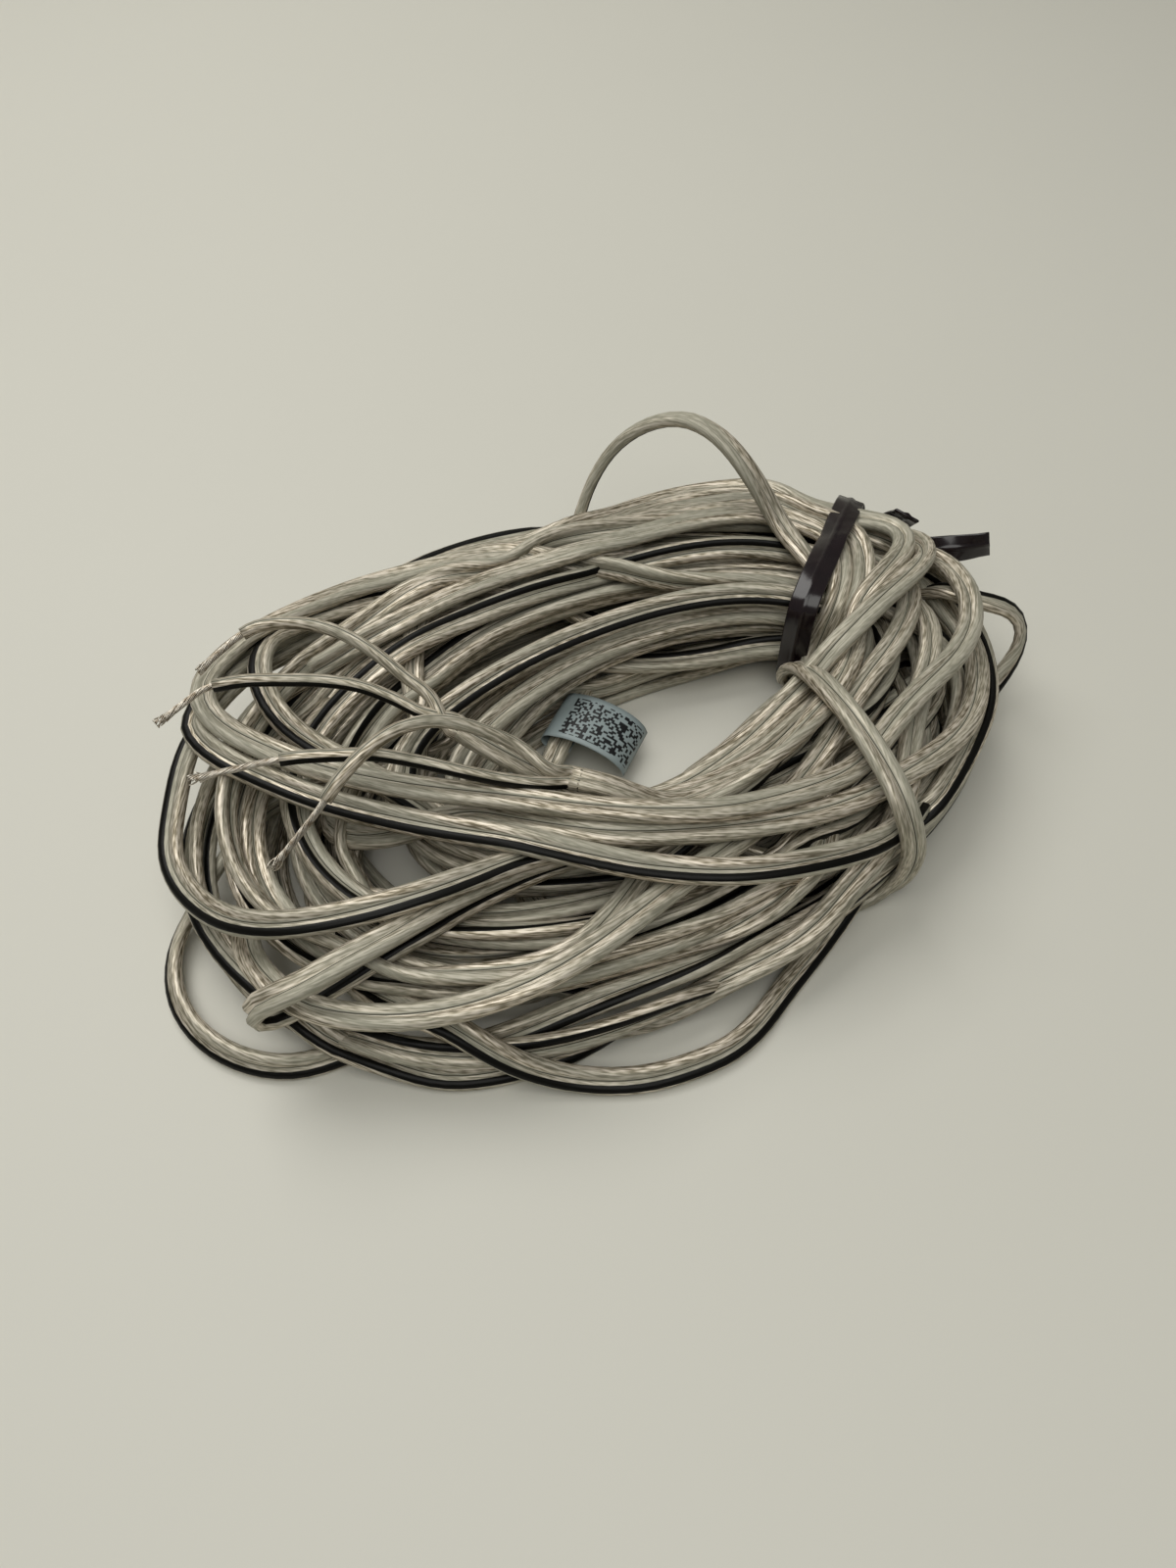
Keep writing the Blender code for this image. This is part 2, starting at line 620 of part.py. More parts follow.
def main():
    """Build every piece of the coil."""
    clear_scene()
    parts = make_collection("speaker_cable_coil")
    guides = make_collection("sections")
    materials = {name: make_material(name) for name in MATERIALS}
    pvc = materials["clear_pvc"]
    sections = {
        "coil": make_section("coil_section", twin_section(3), guides),
        "lead": make_section("lead_section", round_section(CONDUCTOR_DIAMETER, 8), guides),
        "strands": make_section("strand_section", strand_section(OUTER_STRANDS), guides),
        "ribbon": make_section("ribbon_section", ribbon_section(), guides),
    }
    line, sides = build_coil(sections["coil"], pvc, parts)
    along = directions(line)

    face, beside = joined_rows(line[0], -along[0], -sides[0])
    before, _ = coil_line(np.array([-2.0, -1.0]) / POINTS_PER_TURN)
    entry = [*((*place, face[3]) for place in before), beside, face]
    for end, tail in (("end_a", entry), ("end_b", ())):
        points, twin_sides = cable_route(f"{end}_twin", tail=tail)
        sweep(f"{end}_twin", points, twin_sides, sections["coil"], pvc, parts)
        build_split_end(end, points, twin_sides, sections, materials, parts)

    leaving = joined_rows(line[-1], along[-1], sides[-1])
    points, strand_sides = cable_route("hole_strand", head=leaving)
    strand = sweep("hole_strand", points, strand_sides, sections["coil"], pvc, parts)
    cut_flat(strand, 0.0)
    build_label(points, strand_sides, materials["label_tape"], parts)

    for name in LOOSE_LOOPS:
        points, loop_sides = cable_route(name)
        sweep(name, points, loop_sides, sections["coil"], pvc, parts)
    build_wrapped_turn(sections["coil"], pvc, parts)
    build_tie(sections["ribbon"], materials["tie_plastic"], parts)

    origin = bpy.data.objects.new("coil_origin", None)
    guides.objects.link(origin)
    origin.location = [-middle for middle in LAID_MIDDLE]
    for piece in parts.objects:
        piece.parent = origin


main()
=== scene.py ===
"""Looks of a hand-wound coil of clear twin loudspeaker cable, bound with a twist tie.

The cable is one length. It is laid out turn by turn, then settled: its turns push each other
apart, drop on to one another and on to the table, and keep to the lines that the photograph
shows. Lengths in this file are in millimetres, and become metres when a mesh is built; the
table and the lamps alone are in metres.
"""

import logging
import math
from collections.abc import Callable
from dataclasses import dataclass, field, replace
from enum import Enum
from functools import partial

import bmesh
import bpy
import numpy as np
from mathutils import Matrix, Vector

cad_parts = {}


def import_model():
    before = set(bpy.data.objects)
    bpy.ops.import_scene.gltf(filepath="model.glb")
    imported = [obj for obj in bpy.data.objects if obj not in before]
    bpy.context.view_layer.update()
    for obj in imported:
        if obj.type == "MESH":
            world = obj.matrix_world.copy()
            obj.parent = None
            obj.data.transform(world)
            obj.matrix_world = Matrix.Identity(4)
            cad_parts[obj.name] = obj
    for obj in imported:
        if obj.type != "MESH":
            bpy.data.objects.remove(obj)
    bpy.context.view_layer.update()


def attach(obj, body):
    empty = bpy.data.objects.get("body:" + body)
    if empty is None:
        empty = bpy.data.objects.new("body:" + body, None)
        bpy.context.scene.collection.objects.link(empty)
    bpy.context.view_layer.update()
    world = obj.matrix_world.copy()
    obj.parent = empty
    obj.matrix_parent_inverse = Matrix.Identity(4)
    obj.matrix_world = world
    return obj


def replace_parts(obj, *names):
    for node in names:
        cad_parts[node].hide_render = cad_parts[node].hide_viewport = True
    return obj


LOG = logging.getLogger("speaker_cable_coil")

Material = bpy.types.Material
Node = bpy.types.Node
Socket = bpy.types.NodeSocket
Thing = bpy.types.Object
AddNode = Callable[..., Node]
Triple = tuple[float, float, float]

MM = 0.001
LAID_MIDDLE = (7.3, -0.1, 0.0)  # The part's own origin, in the frame of the photograph's camera
SEED = 7
CONDUCTOR = 2.5  # Diameter of one conductor over its jacket
UP = (0.0, 0.0, 1.0)


class Side(Enum):
    """Side of the cable, seen along its run from above, on which the dark stripe lies."""

    RIGHT = 0.0
    LEFT = 180.0


class Heading(Enum):
    """Way round the oval in which a stretch is wound, seen from above."""

    ANTICLOCKWISE = 1.0
    CLOCKWISE = -1.0


# ---------------------------------------------------------------- small helpers


def unit(vectors: np.ndarray) -> np.ndarray:
    """Vectors of length one, along the last axis."""
    return vectors / np.maximum(np.linalg.norm(vectors, axis=-1, keepdims=True), 1e-12)


def directions(points: np.ndarray) -> np.ndarray:
    """Direction of a line at each of its points, from the runs on both sides."""
    runs = unit(np.diff(points, axis=0))
    return np.vstack([runs[:1], unit(runs[:-1] + runs[1:]), runs[-1:]])


def square_to(sides: np.ndarray, along: np.ndarray) -> np.ndarray:
    """Unit vectors made square to a line's directions."""
    return unit(sides - along * np.sum(sides * along, axis=1, keepdims=True))


def level_sides(points: np.ndarray) -> np.ndarray:
    """Level vectors square to a line, on its right-hand side."""
    return unit(np.cross(directions(points), UP))


def turned(sides: np.ndarray, along: np.ndarray, angles: np.ndarray) -> np.ndarray:
    """Turn side vectors about the line's direction by angles in radians."""
    across = np.cross(along, sides)
    return sides * np.cos(angles)[:, None] + across * np.sin(angles)[:, None]


def smooth_route(rows: np.ndarray, step: float, samples: int = 12) -> np.ndarray:
    """Evenly spaced rows on a Catmull-Rom curve.

    Args:
        rows: Points to pass through; any columns after the first three are carried along.
        step: Distance between the new rows.
        samples: Fine samples between two rows.

    Returns:
        The new rows, from the first point to the last.
    """
    padded = np.vstack([2 * rows[0] - rows[1], rows, 2 * rows[-1] - rows[-2]])
    t = np.linspace(0.0, 1.0, samples, endpoint=False)[None, :, None]
    a, b, c, d = (padded[i:len(padded) - 3 + i, None] for i in range(4))
    fine = 0.5 * (2 * b + (c - a) * t + (2 * a - 5 * b + 4 * c - d) * t**2
                  + (3 * b - a - 3 * c + d) * t**3)
    fine = np.vstack([fine.reshape(-1, rows.shape[1]), rows[-1:]])
    runs = np.linalg.norm(np.diff(fine[:, :3], axis=0), axis=1)
    reach = np.concatenate([[0.0], np.cumsum(runs)])
    stations = np.linspace(0.0, reach[-1], max(3, round(reach[-1] / step) + 1))
    return np.column_stack([np.interp(stations, reach, column) for column in fine.T])


def smoothstep(values: np.ndarray) -> np.ndarray:
    """Ease from 0 to 1."""
    t = np.clip(values, 0.0, 1.0)
    return t * t * (3.0 - 2.0 * t)


def linear(colour: str) -> tuple[float, float, float, float]:
    """Linear RGBA from an sRGB hex colour.

    Args:
        colour: Six hex digits after a hash sign.

    Returns:
        Red, green, blue and alpha.
    """
    shares = (int(colour[i:i + 2], 16) / 255.0 for i in (1, 3, 5))
    light = (c / 12.92 if c <= 0.04045 else ((c + 0.055) / 1.055) ** 2.4 for c in shares)
    return (*light, 1.0)


# ---------------------------------------------------------------- the photograph's camera


@dataclass(frozen=True)
class PhotoCamera:
    """The camera that the photograph was taken with.

    Attributes:
        focal: Focal length in pixels.
        pitch: Angle of the view below the horizon, in degrees.
        height: Height over the table.
        centre: Pixel column and row of the picture's middle.
    """

    focal: float = 1200.0
    pitch: float = 52.0
    height: float = 193.0
    centre: tuple[float, float] = (600.0, 800.0)

    def eye(self) -> np.ndarray:
        """Place of the camera."""
        return np.array([0.0, -self.height / math.tan(math.radians(self.pitch)), self.height])

    def rays(self, marks: np.ndarray) -> np.ndarray:
        """Directions from the camera through pixels of the photograph."""
        pitch = math.radians(self.pitch)
        right = (marks[:, 0] - self.centre[0]) / self.focal
        up = (self.centre[1] - marks[:, 1]) / self.focal
        ahead = math.cos(pitch) + up * math.sin(pitch)
        return unit(np.column_stack([right, ahead, up * math.cos(pitch) - math.sin(pitch)]))

    def lifted(self, marks: np.ndarray) -> np.ndarray:
        """Points seen at pixels of the photograph, at given heights.

        Args:
            marks: Rows of pixel column, pixel row and height.

        Returns:
            Points as rows of x, y and z.
        """
        rays = self.rays(marks)
        reach = (marks[:, 2] - self.height) / rays[:, 2]
        return self.eye() + rays * reach[:, None]

    def build(self) -> None:
        """Make the camera of the scene."""
        data = bpy.data.cameras.new("photo_camera")
        data.sensor_width = 36.0
        data.lens = self.focal * data.sensor_width / (2.0 * self.centre[1])
        data.clip_start = 0.01
        camera = placed("photo_camera", data)
        camera.location = in_place(self.eye())
        camera.rotation_euler = (math.radians(90.0 - self.pitch), 0.0, 0.0)
        bpy.context.scene.camera = camera


# ---------------------------------------------------------------- how the coil is wound


@dataclass(frozen=True)
class Oval:
    """The pile of turns: an oval ring, round which places are given by angle and distance out.

    Attributes:
        long_radius: Half the length of the ring's middle line.
        short_radius: Half its width.
        left_pull: How far its left end is drawn in.
        turn: Turn of its long axis from the picture's width, in degrees.
        tie_half_width: Half the pile's width at the tie, to the middle of its outermost turns.
        left_half_width: The same where the pile is widest.
        widest: Place where it is widest, in degrees.
        widening: How far round from there it narrows, in degrees.
    """

    long_radius: float = 67.5
    short_radius: float = 37.5
    left_pull: float = 8.0
    turn: float = 28.0
    centre: tuple[float, float] = (6.0, 1.0)
    tie_angle: float = 29.0
    tie_half_width: float = 14.0
    left_half_width: float = 24.0
    widest: float = 175.0
    widening: float = 75.0

    def place(self, angles: np.ndarray, out: np.ndarray) -> np.ndarray:
        """Level places at angles in degrees, moved out from the ring's middle line."""
        a = np.radians(angles)
        pull = self.left_pull * ((1.0 - np.cos(a)) / 2.0) ** 2
        u = (self.long_radius - pull + out) * np.cos(a)
        v = (self.short_radius + out) * np.sin(a)
        t = math.radians(self.turn)
        return np.column_stack([self.centre[0] + u * math.cos(t) - v * math.sin(t),
                                self.centre[1] + u * math.sin(t) + v * math.cos(t)])

    def coordinates(self, x: float, y: float) -> tuple[float, float]:
        """Angle in degrees and distance out of a level place, found by halving."""
        t = math.radians(self.turn)
        dx, dy = x - self.centre[0], y - self.centre[1]
        u, v = dx * math.cos(t) + dy * math.sin(t), dy * math.cos(t) - dx * math.sin(t)
        low, high = -self.short_radius + 2.0, 80.0
        angle = 0.0
        for _ in range(40):
            out = 0.5 * (low + high)
            rise = v / (self.short_radius + out)
            angle = math.atan2(rise, u / (self.long_radius + out))
            pull = self.left_pull * ((1.0 - math.cos(angle)) / 2.0) ** 2
            level = u / (self.long_radius - pull + out)
            angle = math.atan2(rise, level)
            low, high = (out, high) if level**2 + rise**2 > 1.0 else (low, out)
        return math.degrees(angle), out

    def away(self, angles: np.ndarray) -> np.ndarray:
        """0 at the tie, 1 on the far side."""
        return (1.0 - np.cos(np.radians(angles - self.tie_angle))) / 2.0

    def half_width(self, angles: np.ndarray) -> np.ndarray:
        """Half the width of the pile, to the middle of its outermost turns."""
        off = (angles - self.widest + 180.0) % 360.0 - 180.0
        wider = self.left_half_width - self.tie_half_width
        return self.tie_half_width + wider * np.exp(-((off / self.widening) ** 2))


@dataclass(frozen=True)
class Laid:
    """A stretch laid by marks on the photograph: pixel column, pixel row and height.

    Attributes:
        name: What the stretch is.
        stripe: Side that the stripe shows on.
        roll: Further turn of the flat side about the run, in degrees.
        hold: How firmly the stretch keeps to its marks.
        wraps: Whether it goes round the pile, from beneath to beneath, on one flat side.
    """

    name: str
    marks: tuple[Triple, ...]
    stripe: Side = Side.RIGHT
    roll: float = 0.0
    hold: float = 0.5
    wraps: bool = False

    def reversed(self) -> "Laid":
        """The same stretch, run the other way."""
        other = Side.LEFT if self.stripe is Side.RIGHT else Side.RIGHT
        return replace(self, marks=self.marks[::-1], stripe=other, roll=-self.roll)


@dataclass(frozen=True)
class Wound:
    """A stretch that runs round the pile.

    Attributes:
        turns: Whole turns besides the way on.
        heading: Way round.
    """

    turns: int
    heading: Heading = Heading.ANTICLOCKWISE


@dataclass(frozen=True)
class TurnBack:
    """A bend inside the pile, where the cable turns back on itself.

    Attributes:
        angle: Place of the bend round the pile, in degrees.
        outs: Distance out before the bend and after it.
        level: Height, as a share of the pile's.
    """

    angle: float
    outs: tuple[float, float]
    level: float


TWIN_ONE = Laid("twin_one", (
    (196, 735, 25), (204, 752, 25), (222, 770, 25), (262, 790, 25), (308, 809, 25.5),
    (351, 823, 26), (394, 833, 26), (437, 842, 26), (509, 854, 26), (578, 868, 26), (641, 881, 26),
    (705, 888, 26), (769, 888, 25.5), (833, 878, 24), (872, 868, 22.5), (896, 859, 20.5),
    (914, 848, 18.5), (930, 830, 17), (945, 806, 16), (958, 785, 15.5), (970, 760, 15.5),
    (978, 732, 16), (982, 704, 17)), Side.RIGHT, roll=24.0)
TWIN_THREE = Laid("twin_three", (
    (470, 572, 22), (420, 584, 22.5), (370, 598, 23), (322, 616, 24.5), (284, 634, 25.5),
    (255, 650, 26), (232, 668, 26.5), (214, 688, 27), (206, 708, 27), (214, 728, 27),
    (236, 746, 27), (268, 762, 27.5), (300, 775, 28), (330, 785, 28), (370, 794, 28.5),
    (420, 803, 29), (470, 809, 29), (520, 814, 29), (560, 819, 29), (600, 824, 28.5),
    (640, 827, 28), (681, 828, 27.5), (722, 827, 27), (762, 822, 26), (803, 812, 25.5),
    (844, 798, 25), (872, 784, 24.5), (891, 765, 24.5), (908, 742, 25), (928, 717, 25.5),
    (950, 694, 25.5), (971, 673, 25.5), (986, 650, 25.5), (991, 626, 25.5), (986, 602, 25),
    (972, 583, 24), (956, 570, 22)), Side.LEFT)
TWIN_FOUR = Laid("twin_four", (
    (478, 830, 22.5), (520, 837, 24), (560, 844, 25), (600, 849, 25.5), (640, 851, 25.5),
    (681, 850, 25.5), (722, 847, 25.5), (762, 843, 25), (803, 836, 24.5), (844, 826, 24),
    (885, 811, 23), (905, 801, 22.5), (925, 789, 22), (945, 776, 21.5), (965, 761, 20.5),
    (982, 743, 19.5), (993, 722, 19), (997, 698, 19)), Side.LEFT)
TWIN_FIVE = Laid("twin_five", (
    (452, 604, 20), (404, 610, 20.5), (360, 619, 21.5), (322, 630, 23), (294, 641, 25),
    (276, 652, 26.5), (267, 666, 27), (265, 684, 27), (270, 705, 27), (283, 728, 26.5),
    (305, 750, 26), (335, 768, 25), (372, 788, 23.5), (414, 812, 21),
    (452, 838, 18)), Side.RIGHT, roll=10.0)
TWIN_TWO = Laid("twin_two", (
    (190, 770, 22), (176, 838, 18), (173, 867, 16.5), (184, 899, 17), (207, 924, 19),
    (236, 939, 22), (279, 944, 25), (322, 939, 26), (380, 927, 26.5), (437, 910, 26.5),
    (494, 890, 25.5), (532, 876, 24), (572, 866, 23), (620, 858, 22.5),
    (668, 850, 22)), Side.RIGHT, roll=24.0)
FOLD_LEG = Laid("fold_leg", (
    (552, 876, 23), (523, 887, 24), (480, 907, 25), (437, 930, 26), (394, 956, 26), (351, 979, 25),
    (308, 1005, 23.5), (280, 1019, 22.5), (263, 1026, 21.8)), Side.LEFT, hold=0.6)
FOLD_BACK = Laid("fold_back", (
    (252, 1033, 19.6), (262, 1042, 17.2), (282, 1036, 17.4), (312, 1020, 18.4), (351, 996, 19.6),
    (394, 971, 20.4), (437, 946, 20.4), (480, 920, 19.6), (523, 899, 18.6), (566, 880, 17.6),
    (610, 866, 16.8), (655, 856, 16.4)), Side.RIGHT, hold=0.6)
TWIN_A = Laid("end_a_twin", (
    (460, 738, 30.5), (474, 747, 30), (490, 756, 29.5), (512, 768, 28.5), (536, 781, 27),
    (560, 793, 25), (590, 806, 22.5), (625, 818, 20.5), (660, 822, 20)), Side.LEFT)
TWIN_B = Laid("end_b_twin", (
    (580, 793, 28.6), (600, 797, 28.2), (624, 802, 27), (646, 809, 25), (668, 817, 22.5),
    (696, 818, 21)), Side.RIGHT)
TOP_LOOP = Laid("top_loop", (
    (846, 622, 21), (844, 606, 23.5), (836, 588, 25), (823, 568, 27.5), (809, 549, 30),
    (790, 519, 35), (770, 490, 38), (751, 463, 40), (732, 444, 41.5), (713, 433, 42),
    (694, 427, 42), (665, 432, 40), (642, 444, 37), (623, 461, 33), (608, 484, 29),
    (596, 511, 23.5), (589, 534, 19), (581, 553, 15.5),
    (565, 566, 13)), Side.LEFT, roll=10.0, hold=0.6)
RIGHT_LOOP = Laid("right_loop", (
    (908, 800, 3), (935, 770, 2), (959, 752, 2), (985, 729, 3), (1012, 700, 7), (1030, 677, 11),
    (1041, 654, 15), (1042, 637, 18), (1032, 624, 21), (1014, 616, 23.5),
    (994, 612, 25)), Side.RIGHT, roll=50.0, hold=0.6)
FRONT_LOOP = Laid("front_loop", (
    (420, 1032, 15.5), (445, 1040, 14.5), (469, 1053, 12.5), (497, 1070, 9.5), (526, 1084, 6.5),
    (555, 1094, 3.8), (583, 1100, 2), (612, 1103, 1.3), (641, 1103, 1.3), (670, 1099, 1.3),
    (698, 1090, 1.3), (737, 1075, 1.3), (769, 1051, 1.3), (797, 1014, 1.3), (824, 980, 1.4),
    (847, 949, 2), (868, 919, 3), (886, 890, 4.5), (902, 865, 6), (917, 840, 7.5), (929, 813, 9),
    (941, 786, 10.5), (951, 756, 12)), Side.RIGHT, roll=40.0, hold=0.6)
LEFT_LOOP = Laid("left_loop", (
    (214, 900, 8), (201, 924, 5), (188, 946, 3), (179, 969, 1.6), (177, 992, 1.3), (181, 1019, 1.3),
    (193, 1042, 1.3), (212, 1062, 1.3), (235, 1076, 1.3), (261, 1085, 1.3), (290, 1089, 1.3),
    (313, 1087, 1.3), (344, 1078, 1.6), (374, 1066, 2.6)), Side.RIGHT, roll=60.0, hold=0.6)
WRAPPED_TURN = Laid("wrapped_turn", (
    (822, 690, 2.5), (811, 697, 6), (804, 692, 11), (805, 683, 16.5), (816, 682, 21.5),
    (834, 692, 26), (859, 718, 29), (879, 744, 29.6), (895, 768, 29.4), (909, 792, 28.6),
    (920, 815, 27), (928, 838, 24), (932, 860, 19), (930, 880, 12), (918, 898, 6), (898, 911, 2.4),
    (878, 918, 1.4), (850, 922, 1.4)), Side.LEFT, hold=0.95, wraps=True)
HOLE_STRAND = Laid("hole_strand", (
    (618, 648, 3), (606, 668, 3.6), (598, 688, 5), (592, 706, 6), (585, 725, 6.5), (577, 745, 6.5),
    (568, 766, 5.5), (557, 791, 3.4), (543, 822, 1.8), (520, 850, 1.5)), Side.LEFT, hold=0.6)
LOWER_LEFT = Laid("lower_left", (
    (196, 895, 13), (206, 934, 12), (221, 958, 11), (240, 982, 11), (259, 1000, 11),
    (285, 1022, 10), (305, 1036, 9), (322, 1051, 8), (351, 1068, 6.5), (394, 1082, 4.5),
    (426, 1093, 3), (466, 1099, 2.5), (530, 1089, 2.5),
    (578, 1073, 3)), Side.RIGHT, roll=30.0, hold=0.4)
FRONT_EDGE = Laid("front_edge", (
    (660, 1041, 5), (695, 1024, 6), (733, 1004, 7.5), (773, 984, 9), (813, 960, 11), (843, 934, 13),
    (866, 905, 15)), Side.LEFT, hold=0.4)
BACK_EDGE = Laid("back_edge", (
    (875, 622, 27), (889, 602, 28), (904, 583, 28), (917, 566, 27.5), (923, 551, 26.5),
    (915, 539, 26), (899, 531, 26), (879, 523, 26), (860, 515, 25.5), (838, 508, 25),
    (790, 498, 24), (751, 498, 23), (713, 502, 22), (675, 510, 21), (637, 522, 20.5),
    (610, 531, 20.5)), Side.LEFT, hold=0.45)
BACK_LEFT = Laid("back_left", (
    (541, 546, 20), (493, 556, 20), (450, 570, 20)), Side.RIGHT, hold=0.45)
RIGHT_ONE = Laid("right_one", (
    (700, 800, 13), (735, 775, 14.5), (765, 748, 16), (790, 720, 17.5), (810, 698, 19.5),
    (826, 680, 21), (840, 655, 23), (851, 628, 25.5), (858, 602, 27), (859, 577, 27),
    (852, 553, 26.5), (836, 536, 26), (810, 526, 26), (775, 524, 25.5), (735, 527, 25),
    (695, 534, 24.5), (655, 545, 24), (610, 558, 23.5), (560, 572, 23), (510, 588, 23),
    (465, 606, 23)), Side.LEFT)
RIGHT_TWO = Laid("right_two", (
    (822, 712, 19.5), (838, 688, 21.5), (852, 664, 24.5), (866, 636, 26.5), (877, 608, 27.5),
    (881, 580, 27.5), (877, 557, 27), (865, 536, 26), (845, 520, 25.5), (815, 512, 25),
    (780, 510, 24.5), (740, 513, 23.5), (700, 519, 22.5), (660, 529, 22), (620, 541, 21.5),
    (575, 552, 21), (525, 563, 21), (480, 574, 21)), Side.LEFT)
RIGHT_FOUR = Laid("right_four", (
    (690, 806, 16), (720, 788, 17), (752, 765, 18), (780, 740, 19), (802, 715, 20),
    (820, 695, 21.5), (838, 677, 23.5), (858, 655, 26.5), (880, 631, 29), (903, 608, 30),
    (924, 590, 30), (938, 576, 28.5), (943, 566, 25.5), (938, 557, 22)), Side.LEFT)
FRONT_SWEEP = Laid("front_sweep", (
    (300, 1022, 18.5), (336, 1033, 17.5), (376, 1038, 17.5), (420, 1037, 18), (465, 1030, 19),
    (505, 1018, 20), (545, 1002, 21), (585, 980, 22), (620, 957, 22.5), (655, 930, 22.5),
    (690, 903, 22), (722, 880, 21.5), (760, 852, 21), (795, 822, 20.5), (825, 788, 20.5),
    (848, 754, 21), (866, 721, 22), (885, 691, 23.5), (906, 664, 24.5), (921, 638, 25),
    (928, 612, 25), (921, 590, 24)), Side.LEFT)
BACK_INNER = Laid("back_inner", (
    (800, 657, 14), (767, 664, 12), (737, 668, 11), (680, 676, 10), (622, 677, 9.5),
    (565, 675, 9.5), (520, 684, 9)), Side.RIGHT, hold=0.4)

PLAN = (
    TWIN_A,
    Wound(0),
    TOP_LOOP,
    Wound(0),
    TWIN_TWO,
    Wound(0),
    BACK_EDGE,
    BACK_LEFT,
    Wound(0),
    TWIN_ONE,
    Wound(0),
    TWIN_THREE,
    Wound(0),
    RIGHT_ONE,
    Wound(0),
    LOWER_LEFT,
    FRONT_EDGE,
    Wound(1),
    TWIN_FOUR,
    Wound(0),
    RIGHT_TWO,
    Wound(1),
    BACK_INNER,
    Wound(1),
    LEFT_LOOP,
    Wound(1),
    TWIN_FIVE,
    Wound(0),
    RIGHT_FOUR,
    Wound(0),
    FRONT_SWEEP,
    Wound(1),
    FRONT_LOOP,
    Wound(1),
    HOLE_STRAND,
    Wound(1),
    RIGHT_LOOP,
    Wound(1),
    TurnBack(352.0, (-5.0, 5.0), 0.5),
    Wound(2, Heading.CLOCKWISE),
    WRAPPED_TURN,
    Wound(1, Heading.CLOCKWISE),
    FOLD_LEG,
    FOLD_BACK,
    Wound(2),
    TurnBack(356.0, (6.0, -4.0), 0.7),
    Wound(3, Heading.CLOCKWISE),
    TWIN_B.reversed(),
)


# Single conductors of the two split ends, from the split to the stripped end.
LEAD_ROUTES = {
    "end_a_plain": (
        (-29, -5, 32.6), (-34, -1.5, 34.4), (-40, 3, 36.2), (-46, 6.6, 37.2), (-52, 8.6, 37.6),
        (-58, 9.2, 37.4), (-62.5, 8.8, 36.8), (-65, 7.4, 36.2)),
    "end_a_striped": (
        (-30, -8.2, 31.6), (-36, -5.4, 32.6), (-42, -3.4, 33.6), (-49, -2.6, 34.2),
        (-56, -2.6, 34.4), (-63, -2.4, 34.0), (-69, -3.0, 33.2)),
    "end_b_plain": (
        (-7, -20.4, 30.4), (-12, -17.4, 32.8), (-17, -16.2, 35.2), (-22, -15.8, 37.2),
        (-27, -16.4, 38.8), (-32, -18.6, 39.6), (-36, -21.6, 39.4), (-39.6, -25, 38.2),
        (-42.6, -28.4, 36.4), (-44.4, -30.6, 34.8)),
    "end_b_striped": (
        (-9, -22.8, 29.4), (-16, -23.0, 31.0), (-23, -22.4, 32.6), (-30, -21.2, 33.6),
        (-37, -20.4, 34.4), (-44, -20.8, 34.8), (-50, -21.4, 35.0), (-53.4, -22.0, 35.0)),
}

# Length of bare strands at each stripped end, and the way they point from it.
BARE_TIPS = {
    "end_a_plain": (11.5, (-0.70, -0.62, -0.30)),
    "end_a_striped": (13.5, (-0.72, -0.66, -0.20)),
    "end_b_plain": (15.5, (-0.62, -0.62, -0.48)),
    "end_b_striped": (16.0, (-0.94, -0.32, 0.02)),
}


